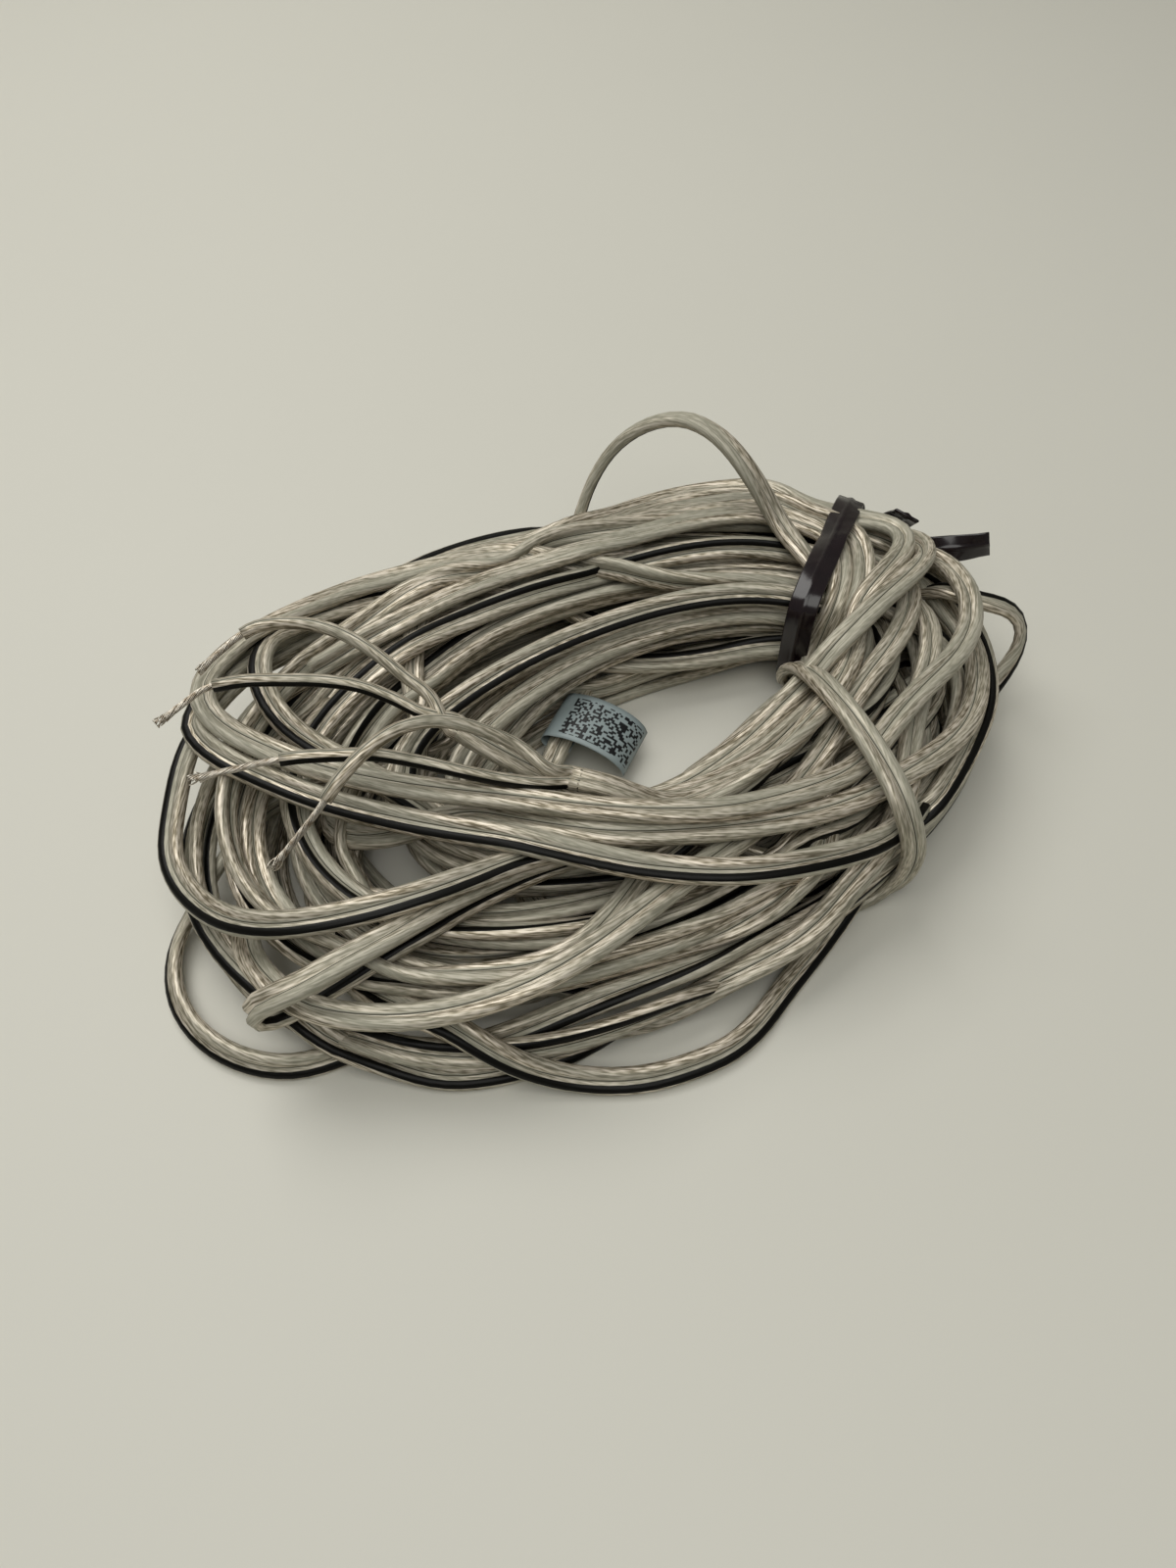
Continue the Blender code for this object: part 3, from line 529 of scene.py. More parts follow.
@dataclass
class Winding:
    """The cable's route before it settles: points, roll and how firmly each point is held.

    Attributes:
        plan: Stretches from one end of the twin to the other.
        rows: Rows of turns over each other in the tie.
        lanes: Places side by side in the tie, as shares of the pile's half width.
        lowest_row: Height of the lowest row over the table.
        tie_row_height: Distance between rows in the tie.
        far_row_height: Distance between rows on the far side.
        turn_step: Degrees between the points that a stretch is wound through.
        free_ends: Degrees left free at a stretch's two ends.
        lane_wander: How far a turn strays sideways, and every how many degrees.
        height_wander: The same for its height.
        roll_wander: The same for the turn of its flat side, in degrees.
        wander_spread: Spread of the random numbers behind these.
        wander_growth: Power with which turns stray more, away from the tie.
        flip_span: Stretches of more degrees than this turn half over and back.
        flip_start: Degrees from a stretch's end to where it begins to turn over.
        flip_length: Degrees that the turning over takes.
        blend: Degrees over which a stretch moves into its own lane.
        spare: Lane and row for turns that find no free place in the tie.
    """

    oval: Oval
    camera: PhotoCamera
    plan: tuple = PLAN
    step: float = 3.6
    rows: int = 5
    lanes: tuple[float, ...] = (-1.0, -0.62, -0.26, 0.12, 0.46, 0.76, 1.0)
    lowest_row: float = 1.4
    tie_row_height: float = 5.5
    far_row_height: float = 4.6
    turn_step: float = 6.0
    free_ends: tuple[float, float] = (8.0, 7.0)
    lane_wander: tuple[float, float] = (4.5, 70.0)
    height_wander: tuple[float, float] = (1.8, 60.0)
    roll_wander: tuple[float, float] = (50.0, 90.0)
    wander_spread: float = 0.6
    wander_growth: float = 0.7
    flip_span: float = 300.0
    flip_start: float = 20.0
    flip_length: float = 110.0
    blend: float = 40.0
    edge_room: float = 4.0
    floor: float = 1.3
    spare: tuple[float, float] = (0.9, 3.5)
    rng: np.random.Generator = field(default_factory=lambda: np.random.default_rng(SEED))

    def slots(self) -> list[tuple[float, float]]:
        """Places in the tie that the turns take in order: down through the rows and up again."""
        down = [(c, row) for row in range(self.rows - 1, -1, -1)
                for c in self.rng.permutation([1, 3, 5])]
        up = [(c, row) for row in range(self.rows) for c in self.rng.permutation([0, 2, 4, 6])]
        return [(self.lanes[c], row) for c, row in down + up
                if not (c in (2, 3, 4) and row in (1, 2))]

    def height(self, angles: np.ndarray, levels: np.ndarray) -> np.ndarray:
        """Height of a row of turns over the table, round the pile."""
        away = self.oval.away(angles)
        between = self.tie_row_height * (1.0 - away) + self.far_row_height * away
        return self.lowest_row + levels * between

    def _wander(self, angles: np.ndarray, reach: float, spacing: float) -> np.ndarray:
        """A smooth random line along a stretch, of about a given reach."""
        keys = np.arange(angles.min() - spacing, angles.max() + 2 * spacing, spacing)
        values = self.rng.normal(0.0, self.wander_spread, len(keys))
        place = (angles - keys[0]) / spacing
        low = np.clip(place.astype(int), 0, len(keys) - 2)
        share = smoothstep(place - low)
        return reach * (values[low] * (1.0 - share) + values[low + 1] * share)

    def _wound(self, begin: np.ndarray, finish: np.ndarray, stretch: Wound,
               slots: list[tuple[float, float]]) -> np.ndarray:
        """Rows of x, y, z and roll for a stretch round the pile, between two points.

        Args:
            begin: Last point before the stretch.
            finish: First point after it.
            stretch: The stretch.
            slots: Places in the tie still to be taken; the ones used are removed.

        Returns:
            Rows between the two points, without them.
        """
        sense = stretch.heading.value
        first, out_first = self.oval.coordinates(*begin[:2])
        last, out_last = self.oval.coordinates(*finish[:2])
        span = (sense * (last - first)) % 360.0 + 360.0 * stretch.turns
        travelled = np.arange(self.free_ends[0], span - self.free_ends[1], self.turn_step)
        if not len(travelled):
            return np.zeros((0, 4))
        angles = first + sense * travelled
        passes = np.arange((sense * (self.oval.tie_angle - first)) % 360.0, span, 360.0)
        away = self.oval.away(angles)
        if len(passes):
            lanes, levels = zip(*[slots.pop(0) if slots else self.spare for _ in passes])
            out = np.interp(travelled, passes, lanes) * self.oval.half_width(angles)
            high = self.height(angles, np.interp(travelled, passes, levels))
        else:
            out = np.interp(travelled, [0.0, span], [out_first, out_last])
            high = np.interp(travelled, [0.0, span], [begin[2], finish[2]])
        out += self._wander(travelled, *self.lane_wander) * away**self.wander_growth
        high += self._wander(travelled, *self.height_wander) * away**self.wander_growth
        roll = self._wander(travelled, *self.roll_wander)
        if span > self.flip_span:
            back = travelled - span + (self.flip_start + self.flip_length)
            flipped = (smoothstep((travelled - self.flip_start) / self.flip_length)
                       - smoothstep(back / self.flip_length))
            roll = roll + 180.0 * self.rng.choice((-1.0, 1.0)) * flipped
        inwards = smoothstep(travelled / self.blend)
        outwards = smoothstep((span - travelled) / self.blend)
        out = out_first + (out - out_first) * inwards
        out = out_last + (out - out_last) * outwards
        high = begin[2] + (high - begin[2]) * inwards
        high = finish[2] + (high - finish[2]) * outwards
        limit = self.oval.half_width(angles) + self.edge_room
        places = self.oval.place(angles, np.clip(out, -limit, limit))
        return np.column_stack([places, np.maximum(high, self.floor), roll])

    def _turn_back(self, bend: TurnBack) -> np.ndarray:
        """Rows of a bend inside the pile."""
        before, after = bend.outs
        middle = 0.5 * (before + after)
        angles = bend.angle - np.array([9.0, 3.0, 0.0, 3.0, 9.0])
        out = np.array([before, before + 0.15 * (middle - before), middle,
                        after + 0.15 * (middle - after), after])
        high = self.height(angles, np.full(5, bend.level * (self.rows - 1)))
        return np.column_stack([self.oval.place(angles, out), high, np.zeros(5)])

    def laid_rows(self, stretch: Laid) -> np.ndarray:
        """Rows of x, y, z and roll of a stretch that the photograph shows."""
        points = self.camera.lifted(np.array(stretch.marks, dtype=float))
        roll = np.full(len(points), stretch.stripe.value + stretch.roll)
        if stretch.wraps:
            onward = directions(points)[:, :2]
            beneath = onward @ onward[np.argmax(points[:, 2])] < 0.0
            roll += np.where(beneath, 180.0, 0.0)
        return np.column_stack([points, roll])

    def route(self) -> tuple[np.ndarray, np.ndarray, np.ndarray, dict[str, tuple[int, int]]]:
        """Lay out the whole cable.

        Returns:
            Points, roll in degrees, hold of each point on its line of sight, and for each
            marked stretch its first and last point.
        """
        fixed = {i: self.laid_rows(item) if isinstance(item, Laid) else self._turn_back(item)
                 for i, item in enumerate(self.plan) if not isinstance(item, Wound)}
        slots = self.slots()
        LOG.info("%d places in the tie", len(slots))
        rows, holds, spans, count, roll_base = [], [], {}, 0, 0.0
        for i, item in enumerate(self.plan):
            hold = 0.0
            if isinstance(item, Wound):
                made = self._wound(fixed[i - 1][-1], fixed[i + 1][0], item, slots)
                marked_next = isinstance(self.plan[i + 1], Laid)
                ahead = fixed[i + 1][0, 3] - roll_base if marked_next else 0.0
                ahead -= 360.0 * round(ahead / 360.0)
                eased = smoothstep(np.linspace(0.0, 1.0, len(made) + 2)[1:-1])
                made[:, 3] += roll_base + ahead * eased
            elif isinstance(item, Laid):
                made = fixed[i].copy()
                made[:, 3] += 360.0 * round((roll_base - made[0, 3]) / 360.0)
                roll_base, hold = made[-1, 3], item.hold
                spans[item.name] = (count, count + len(made) - 1)
            else:
                made = fixed[i].copy()
                made[:, 3] += roll_base
            count += len(made)
            rows.append(made)
            holds.append(np.full(len(made), hold))
        LOG.info("%d places in the tie left over", len(slots))
        control = np.column_stack([np.vstack(rows), np.concatenate(holds), np.arange(count)])
        laid = smooth_route(control, self.step)
        index = {name: tuple(int(np.argmin(np.abs(laid[:, 5] - k))) for k in pair)
                 for name, pair in spans.items()}
        return laid[:, :3], laid[:, 3], np.clip(laid[:, 4], 0.0, 1.0), index


# ---------------------------------------------------------------- how it settles


def close_pairs(middles: np.ndarray, reach: float) -> tuple[np.ndarray, np.ndarray]:
    """Pairs of points that lie within a distance of each other.

    Args:
        middles: The points.
        reach: The distance.

    Returns:
        Indices of the first and the second point of each pair.
    """
    cells = np.floor(middles / reach).astype(np.int64)
    cells -= cells.min(axis=0) - 1
    size = cells.max(axis=0) + 2
    code = (cells[:, 0] * size[1] + cells[:, 1]) * size[2] + cells[:, 2]
    order = np.argsort(code, kind="stable")
    ranked = code[order]
    firsts, seconds = [], []
    for x, y, z in np.ndindex(3, 3, 3):
        offset = ((x - 1) * size[1] + (y - 1)) * size[2] + (z - 1)
        if offset < 0:
            continue
        low = np.searchsorted(ranked, code + offset, "left")
        counts = np.searchsorted(ranked, code + offset, "right") - low
        first = np.repeat(np.arange(len(code)), counts)
        before = np.repeat(np.cumsum(counts) - counts, counts)
        second = order[np.arange(counts.sum()) - before + np.repeat(low, counts)]
        if offset == 0:
            first, second = first[first < second], second[first < second]
        firsts.append(first)
        seconds.append(second)
    first, second = np.concatenate(firsts), np.concatenate(seconds)
    near = np.sum((middles[first] - middles[second]) ** 2, axis=1) < reach * reach
    return first[near], second[near]


def closest_on_runs(p: np.ndarray, q: np.ndarray, r: np.ndarray,
                    s: np.ndarray) -> tuple[np.ndarray, np.ndarray]:
    """Shares along the runs p to q and r to s at which they come nearest to each other."""
    one, two, apart = q - p, s - r, p - r
    a, e = np.sum(one * one, axis=1), np.sum(two * two, axis=1)
    b, c, f = (np.sum(x * y, axis=1) for x, y in ((one, two), (one, apart), (two, apart)))
    bulk = a * e - b * b
    nearest = np.clip((b * f - c * e) / np.maximum(bulk, 1e-9), 0.0, 1.0)
    along = np.where(bulk > 1e-6 * a * e, nearest, 0.5)
    other = np.clip((b * along + f) / e, 0.0, 1.0)
    return np.clip((b * other - c) / a, 0.0, 1.0), other


@dataclass
class Settling:
    """Lets a laid-out twin cable settle, so that its turns lie on each other and on the table.

    It works by small moves. Where the pile is tightest, some conductors still overlap at the end.

    Attributes:
        camera: The camera whose lines of sight the marked stretches keep to.
        spacing: Distance between the two conductors' middles, which is their diameter too.
        clearance: Gap that is sought between conductors.
        same_run: Points apart along the cable below which two runs aren't parted.
        parting: Share of an overlap that is undone in one round, more than 1 to settle sooner.
        late: Share of the rounds after which the fall is lessened.
        springiness: Share of the drift in height that is drawn back.
        keep: Share of a loose point's drift that is drawn back.
        stretch: Share of a run's wrong length that is mended at each of its ends.
        twist_side: Share of a push that turns the flat.
        side_hold: How firmly a marked, level stretch keeps its laid side.
        side_fade: How fast that ends where the stretch rises.
        sight_pull: Pull of a marked stretch on to its line of sight.
        firm_from: Hold from which a stretch keeps to its laid place instead.
        firm_pull: Pull on to that place.
        tie_power: Squareness of the tie's inside.
        tie_reach: Distance along the pile over which the tie binds fully.
        tie_fade: Further distance over which it lets go.
        tie_catch: Distance outside the tie within which turns are drawn in.
        cable_half: Half the cable's room inside the tie, sideways and upwards.
    """

    oval: Oval
    camera: PhotoCamera
    spacing: float = CONDUCTOR
    clearance: float = 0.06
    rounds: int = 500
    search_every: int = 8
    search_room: float = 0.8
    same_run: int = 3
    parting: float = 1.6
    fall: float = 0.008
    late: float = 0.85
    late_fall: float = 0.3
    springiness: float = 0.35
    keep: float = 0.02
    stretch: float = 0.35
    twist_side: float = 0.35
    twist_ease: float = 0.2
    bend_ease: float = 0.09
    side_hold: float = 0.3
    side_fade: float = 4.0
    sight_pull: float = 0.35
    firm_from: float = 0.85
    firm_pull: float = 0.6
    tie_half_width: float = 18.2
    tie_low: float = 1.4
    tie_high: float = 26.2
    tie_power: int = 4
    tie_pull: float = 0.5
    tie_reach: float = 4.0
    tie_fade: float = 8.0
    tie_catch: float = 5.0
    cable_half: tuple[float, float] = (1.8, 1.3)

    def run(self, points: np.ndarray, roll: np.ndarray, hold: np.ndarray,
            wrapped: tuple[int, int]) -> tuple[np.ndarray, np.ndarray]:
        """Settle the cable.

        Args:
            points: Its middle line.
            roll: Turn of its flat side at each point, in degrees.
            hold: How firmly each point keeps to its line of sight.
            wrapped: First and last point of the turn that goes round the pile.

        Returns:
            The settled middle line, and unit vectors across the flat towards the striped conductor.
        """
        line, home = points.copy(), points.copy()
        across = turned(level_sides(line), directions(line), np.radians(roll))
        turn_round = slice(wrapped[0], wrapped[1] + 1)
        facing = across[wrapped[0] + int(np.argmax(line[turn_round, 2]))]
        onward = directions(line)[turn_round]
        across[turn_round] = unit(facing - onward * (onward @ facing)[:, None])
        laid_across = across.copy()
        step = np.mean(np.linalg.norm(np.diff(line, axis=0), axis=1))
        eye = self.camera.eye()
        sight = unit(home - eye)
        count = len(line)
        held = hold[:, None]
        firm = held >= self.firm_from
        pull = np.where(firm, self.firm_pull, self.sight_pull)
        level = held * np.clip(1.0 - self.side_fade * np.abs(directions(line)[:, 2:]), 0.0, 1.0)
        level[turn_round] = 1.0
        for turn in range(self.rounds):
            across = square_to(across, directions(line))
            strands = np.vstack([line + across * self.spacing / 2.0,
                                 line - across * self.spacing / 2.0])
            if turn % self.search_every == 0:
                pairs = self._candidates(strands, count, step)
            push, deepest = self._contacts(strands, pairs)
            push[:, 2] += np.maximum(self.spacing / 2.0 - strands[:, 2], 0.0)
            right, left = push[:count], push[count:]
            line += 0.5 * (right + left)
            across = unit(across + self.twist_side * (right - left))
            line += self._inside_tie(line)
            line[:, 2] -= self.fall * (1.0 if turn < self.rounds * self.late else self.late_fall)
            line += self._stretch(line, step)
            bend = np.zeros_like(line)
            bend[1:-1] = line[:-2] - 2.0 * line[1:-1] + line[2:]
            line[2:-2] -= self.bend_ease * (bend[1:-3] - 2.0 * bend[2:-2] + bend[3:-1])
            across[1:-1] = unit(across[1:-1] + self.twist_ease * (across[:-2] + across[2:]))
            across = unit(across + self.side_hold * level * laid_across)
            on_sight = eye + sight * np.sum((line - eye) * sight, axis=1, keepdims=True)
            line += held * pull * (np.where(firm, home, on_sight) - line)
            line += self.keep * (1.0 - held) * ((home - line) * (1.0, 1.0, self.springiness))
        LOG.info("settled: deepest overlap %.2f mm", deepest)
        lowest = line[:, 2] - 0.5 * self.spacing * (1.0 + np.abs(across[:, 2]))
        along = directions(line)
        line[:, 2] += np.maximum(-lowest, 0.0)
        return line, square_to(across, along)

    def _candidates(self, strands: np.ndarray, count: int,
                    step: float) -> tuple[np.ndarray, np.ndarray]:
        """Pairs of short runs of conductor that may touch, by their first points."""
        starts = np.concatenate([np.arange(count - 1), np.arange(count - 1) + count])
        middles = 0.5 * (strands[starts] + strands[starts + 1])
        first, second = close_pairs(middles, step + self.spacing + self.search_room)
        apart = np.abs(starts[first] % count - starts[second] % count) > self.same_run
        return starts[first[apart]], starts[second[apart]]

    def _contacts(self, strands: np.ndarray,
                  pairs: tuple[np.ndarray, np.ndarray]) -> tuple[np.ndarray, float]:
        """Moves that part the runs which overlap, and the deepest overlap."""
        first, second = pairs
        here, there = closest_on_runs(strands[first], strands[first + 1],
                                      strands[second], strands[second + 1])
        one = strands[first] * (1.0 - here[:, None]) + strands[first + 1] * here[:, None]
        two = strands[second] * (1.0 - there[:, None]) + strands[second + 1] * there[:, None]
        apart = one - two
        distance = np.linalg.norm(apart, axis=1)
        depth = self.spacing + self.clearance - distance
        hit = depth > 0.0
        move = apart[hit] / np.maximum(distance[hit], 1e-6)[:, None] * (0.5 * depth[hit])[:, None]
        here, there = here[hit], there[hit]
        ends = np.concatenate([first[hit], first[hit] + 1, second[hit], second[hit] + 1])
        share = np.concatenate([1.0 - here, here, 1.0 - there, there])
        moves = np.vstack([move, move, -move, -move]) * share[:, None]
        total = np.column_stack([np.bincount(ends, moves[:, axis], len(strands))
                                 for axis in range(3)])
        weight = np.bincount(ends, share, len(strands))
        return total * self.parting / np.maximum(weight, 1.0)[:, None], float(depth.max())

    def _inside_tie(self, line: np.ndarray) -> np.ndarray:
        """Moves that keep the turns inside the tie where they pass it."""
        centre = self.oval.place(np.array([self.oval.tie_angle]), np.zeros(1))[0]
        ahead = self.oval.place(np.array([self.oval.tie_angle + 0.5]), np.zeros(1))[0] - centre
        onward = ahead / np.linalg.norm(ahead)
        outward = np.array([onward[1], -onward[0]])
        level = line[:, :2] - centre
        near = 1.0 - (np.abs(level @ onward) - self.tie_reach) / self.tie_fade
        near = np.clip(near, 0.0, 1.0)
        a = self.tie_half_width - self.cable_half[0]
        b = 0.5 * (self.tie_high - self.tie_low) - self.cable_half[1]
        out, up = level @ outward, line[:, 2] - 0.5 * (self.tie_low + self.tie_high)
        near *= np.abs(out) < self.tie_half_width + self.tie_catch
        power = self.tie_power
        size = ((np.abs(out) / a) ** power + (np.abs(up) / b) ** power) ** (1.0 / power)
        excess = np.maximum(1.0 - 1.0 / np.maximum(size, 1e-6), 0.0) * near * self.tie_pull
        return np.column_stack([-(out * excess)[:, None] * outward, -up * excess])

    def _stretch(self, line: np.ndarray, step: float) -> np.ndarray:
        """Moves that keep the distance between points."""
        runs = np.diff(line, axis=0)
        length = np.linalg.norm(runs, axis=1, keepdims=True)
        pull = self.stretch * (length - step) / np.maximum(length, 1e-6) * runs
        moves = np.zeros_like(line)
        moves[:-1] += pull
        moves[1:] -= pull
        return moves


# ---------------------------------------------------------------- meshes


def in_place(points: np.ndarray) -> np.ndarray:
    """Points in metres, in the part's own frame."""
    return (points - np.array(LAID_MIDDLE)) * MM


def placed(name: str, data: bpy.types.ID) -> Thing:
    """A new object of the scene."""
    thing = bpy.data.objects.new(name, data)
    bpy.context.scene.collection.objects.link(thing)
    return thing


def finished(sheet: bmesh.types.BMesh, name: str, uv: str = "",
             scale: tuple[float, float] = (1.0, 1.0)) -> bpy.types.Mesh:
    """The smooth mesh of a sheet, which is freed.

    Args:
        sheet: The sheet.
        name: Name of the mesh.
        uv: UV map to be scaled, if any.
        scale: Its scale in both directions.

    Returns:
        The mesh.
    """
    mesh = bpy.data.meshes.new(name)
    sheet.to_mesh(mesh)
    sheet.free()
    if uv:
        layer = mesh.uv_layers[uv].data
        values = np.empty(len(layer) * 2)
        layer.foreach_get("uv", values)
        layer.foreach_set("uv", values * np.tile(scale, len(layer)))
    mesh.shade_smooth()
    return mesh


def tube(name: str, points: np.ndarray, sides: np.ndarray, section: np.ndarray) -> Thing:
    """Sweep a closed section along a line, as one tube with closed ends.

    The mesh starts as a flat grid, which is rolled up. Its UV map holds the length run, in
    millimetres, and the share of the way round the section.

    Args:
        name: Name of the object.
        points: The middle line, in millimetres.
        sides: Unit vectors at its points, along which the section's first coordinate lies.
        section: The section's points in order round it.

    Returns:
        The new object.
    """
    rings, around = len(points), len(section)
    ups = unit(np.cross(sides, directions(points)))
    sheet = bmesh.new()
    sheet.loops.layers.uv.new("run_and_round")
    bmesh.ops.create_grid(sheet, x_segments=rings - 1, y_segments=around, size=1.0, calc_uvs=True)
    flat = np.array([vert.co[:] for vert in sheet.verts])
    ring = np.rint((flat[:, 0] + 1.0) / 2.0 * (rings - 1)).astype(int)
    across = section[np.rint((flat[:, 1] + 1.0) / 2.0 * around).astype(int) % around]
    lifted = (sides[ring] * across[:, :1] + ups[ring] * across[:, 1:]) * MM
    for vert, place in zip(sheet.verts, in_place(points)[ring] + lifted):
        vert.co = place
    bmesh.ops.remove_doubles(sheet, verts=sheet.verts, dist=1e-7)
    rims = [edge for edge in sheet.edges if edge.is_boundary]
    bmesh.ops.holes_fill(sheet, edges=rims, sides=0)
    bmesh.ops.recalc_face_normals(sheet, faces=sheet.faces)
    reach = np.sum(np.linalg.norm(np.diff(points, axis=0), axis=1))
    return placed(name, finished(sheet, name, "run_and_round", (reach, 1.0)))


def dressed(thing: Thing, material: Material) -> Thing:
    """Give a piece its material and material slot, and let it ride on the part's one body."""
    thing.data.materials.append(material)
    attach(thing, "root")
    triangles = sum(len(face.vertices) - 2 for face in thing.data.polygons)
    LOG.info("%s: %d triangles", thing.name, triangles)
    return thing


def round_section(diameter: float, count: int) -> np.ndarray:
    """Points of a circle."""
    angles = np.linspace(0.0, 2.0 * math.pi, count, endpoint=False)
    return np.column_stack([np.cos(angles), np.sin(angles)]) * diameter / 2.0


def parallel_sides(points: np.ndarray, first: np.ndarray) -> np.ndarray:
    """Side vectors carried along a line without twist.

    Args:
        points: The line.
        first: A vector that isn't along the line's start.

    Returns:
        Unit vectors square to the line.
    """
    sides = []
    for along in directions(points):
        side = sides[-1] if sides else np.asarray(first)
        sides.append(unit(side - along * np.dot(side, along)))
    return np.array(sides)


# ---------------------------------------------------------------- finishes


def connect(node: Node, inputs: dict) -> None:
    """Set or link inputs of a shader node.

    Args:
        node: The node.
        inputs: For each input, by name or number, a value, an output socket of another node, or
            another node, whose first output is taken.
    """
    for key, value in inputs.items():
        if isinstance(value, (Node, Socket)):
            source = value if isinstance(value, Socket) else value.outputs[0]
            node.id_data.links.new(source, node.inputs[key])
        else:
            node.inputs[key].default_value = value


def add_node(tree: bpy.types.NodeTree, kind: str, inputs: dict | None = None, **settings) -> Node:
    """Add a shader node.

    Args:
        tree: The material's node tree.
        kind: Node type, such as ShaderNodeMath.
        inputs: Inputs as for connect.
        settings: Properties of the node.

    Returns:
        The node.
    """
    made = tree.nodes.new(kind)
    for key, value in settings.items():
        setattr(made, key, value)
    connect(made, inputs or {})
    return made


def new_material(name: str) -> tuple[Material, AddNode, Node]:
    """An empty material, add_node for its tree, and the Principled shader on its output."""
    material = bpy.data.materials.new(name)
    material.use_nodes = True
    material.node_tree.nodes.clear()
    add = partial(add_node, material.node_tree)
    shader = add("ShaderNodeBsdfPrincipled")
    add("ShaderNodeOutputMaterial", {"Surface": shader})
    return material, add, shader


@dataclass(frozen=True)
class ClearTwinPvc:
    """Clear, slightly green-grey flexible PVC, extruded over bright stranded wire.

    The strands shine through it as fine streaks that lie almost along the cable; the skin over
    them is smooth and glossy. One conductor carries a dark line, which is extruded with it.

    Attributes:
        round_length: Way round the outline, in millimetres.
        lay_angle: Lean of the strands from the cable's run, as a slope.
        lines: Length, width and detail of the streaks that strands of 0.2 mm show as.
        glints: The same for the glints on them.
        shine: The same for the patches that the jacket veils.
        glint_share: Strength of the glints against the lines.
        strands: Colours of the strand streaks, with the noise value that each belongs to; the
            darkest is partly the strands' own darker streaks and partly painted shade in the gaps
            between them, the brightest a painted highlight.
        patch: Noise values between which a patch goes from clear to veiled.
        veils: Least and most share of the jacket's colour over the strands.
        web: Shares of half the outline between which the web's veil rises, 0.5 being its middle.
        painted_groove_shade_at: The same for the painted shade down the middle of the web's groove.
        metal: Metallic share of the unveiled strands.
        stripe_at: Where the dark line begins and ends, as shares of the way round.
        stripe_blur: Half the width of its blurred edges.
        stripe_sway: How far it wanders.
    """

    name: str = "clear_pvc"
    striped: bool = True
    round_length: float = 14.2
    lay_angle: float = 0.09
    lines: Triple = (9.0, 0.30, 1.0)
    glints: Triple = (1.5, 0.24, 0.0)
    shine: Triple = (38.0, 3.0, 1.0)
    glint_share: float = 0.55
    # Streak colours: the dark stop is partly painted shade between strands, the bright stop a
    # painted highlight.
    strands: tuple[tuple[float, str], ...] = (
        (0.62, "#6A5E49"), (0.94, "#F2E6D6"), (0.76, "#BBAF9B"))
    patch: tuple[float, float] = (0.38, 0.62)
    veils: tuple[float, float] = (0.15, 0.75)
    web: tuple[float, float] = (0.40, 0.47)
    painted_groove_shade_at: tuple[float, float] = (0.472, 0.490)
    metal: float = 0.6
    jacket: str = "#A09F90"
    # Painted shade: a dark brown line down the middle of the web's groove, where shade falls between
    # the two conductors.
    painted_groove_shade: str = "#3A3226"
    stripe: str = "#0B0A07"
    stripe_at: tuple[float, float] = (0.300, 0.410)
    stripe_blur: float = 0.004
    stripe_sway: float = 0.02

    def build(self) -> Material:
        """Make the material."""
        material, add, shader = new_material(self.name)
        axes = add("ShaderNodeSeparateXYZ", {0: add("ShaderNodeUVMap", uv_map="run_and_round")})
        run, share = axes.outputs[0], axes.outputs[1]
        around = add("ShaderNodeMath", {0: share, 1: self.round_length}, operation="MULTIPLY")
        lean = add("ShaderNodeMath", {0: run, 1: self.lay_angle, 2: around},
                   operation="MULTIPLY_ADD")
        lines, glints, shine = (self._streaks(add, run, lean, *kind)
                                for kind in (self.lines, self.glints, self.shine))
        # The glints lift the streaks towards the ramp's bright stop: painted highlights, besides
        # their bump.
        both = add("ShaderNodeMath", {0: glints, 1: self.glint_share, 2: lines},
                   operation="MULTIPLY_ADD")
        ramp = add("ShaderNodeValToRGB", {0: both})
        stops = ramp.color_ramp.elements
        for stop, (value, colour) in zip(stops, self.strands):
            stop.position, stop.color = value, linear(colour)
        stops.new(self.strands[2][0]).color = linear(self.strands[2][1])
        haze = add("ShaderNodeMapRange", {0: shine, 1: self.patch[0], 2: self.patch[1],
                                          3: self.veils[0], 4: self.veils[1]})
        veil = add("ShaderNodeMath", {0: haze, 1: self._web(add, share, *self.web)},
                   operation="MAXIMUM")
        metallic = add("ShaderNodeMath", {0: veil, 1: -self.metal, 2: self.metal},
                       operation="MULTIPLY_ADD")
        # The second layer paints shade down the middle of the web's groove.
        layers = [(veil, self.jacket), (self._web(add, share, *self.painted_groove_shade_at), self.painted_groove_shade)]
        if self.striped:
            band = self._band(add, share, run)
            layers.append((band, self.stripe))
            plain = add("ShaderNodeMath", {0: 1.0, 1: band}, operation="SUBTRACT")
            metallic = add("ShaderNodeMath", {0: metallic, 1: plain}, operation="MULTIPLY")
        colour = ramp.outputs[0]
        for cover, over in layers:
            mixed = add("ShaderNodeMix", {0: cover, 6: colour, 7: linear(over)}, data_type="RGBA")
            colour = mixed.outputs[2]
        bump = add("ShaderNodeBump", {"Height": glints, "Strength": 0.3, "Distance": 0.0001})
        connect(shader, {"Base Color": colour, "Metallic": metallic, "Roughness": 0.42,
                         "Specular IOR Level": 0.12, "Coat Weight": 0.07, "Coat Roughness": 0.22,
                         "Coat IOR": 1.53, "Normal": bump})
        return material

    @staticmethod
    def _streaks(add: AddNode, run: Socket, lean: Node, length: float, width: float,
                 detail: float) -> Node:
        """Noise drawn out along the cable, in millimetres of streak length and width."""
        place = add("ShaderNodeCombineXYZ", {
            0: add("ShaderNodeMath", {0: run, 1: 1.0 / length}, operation="MULTIPLY"),
            1: add("ShaderNodeMath", {0: lean, 1: 1.0 / width}, operation="MULTIPLY")})
        return add("ShaderNodeTexNoise", {"Vector": place, "Scale": 0.8, "Detail": detail})

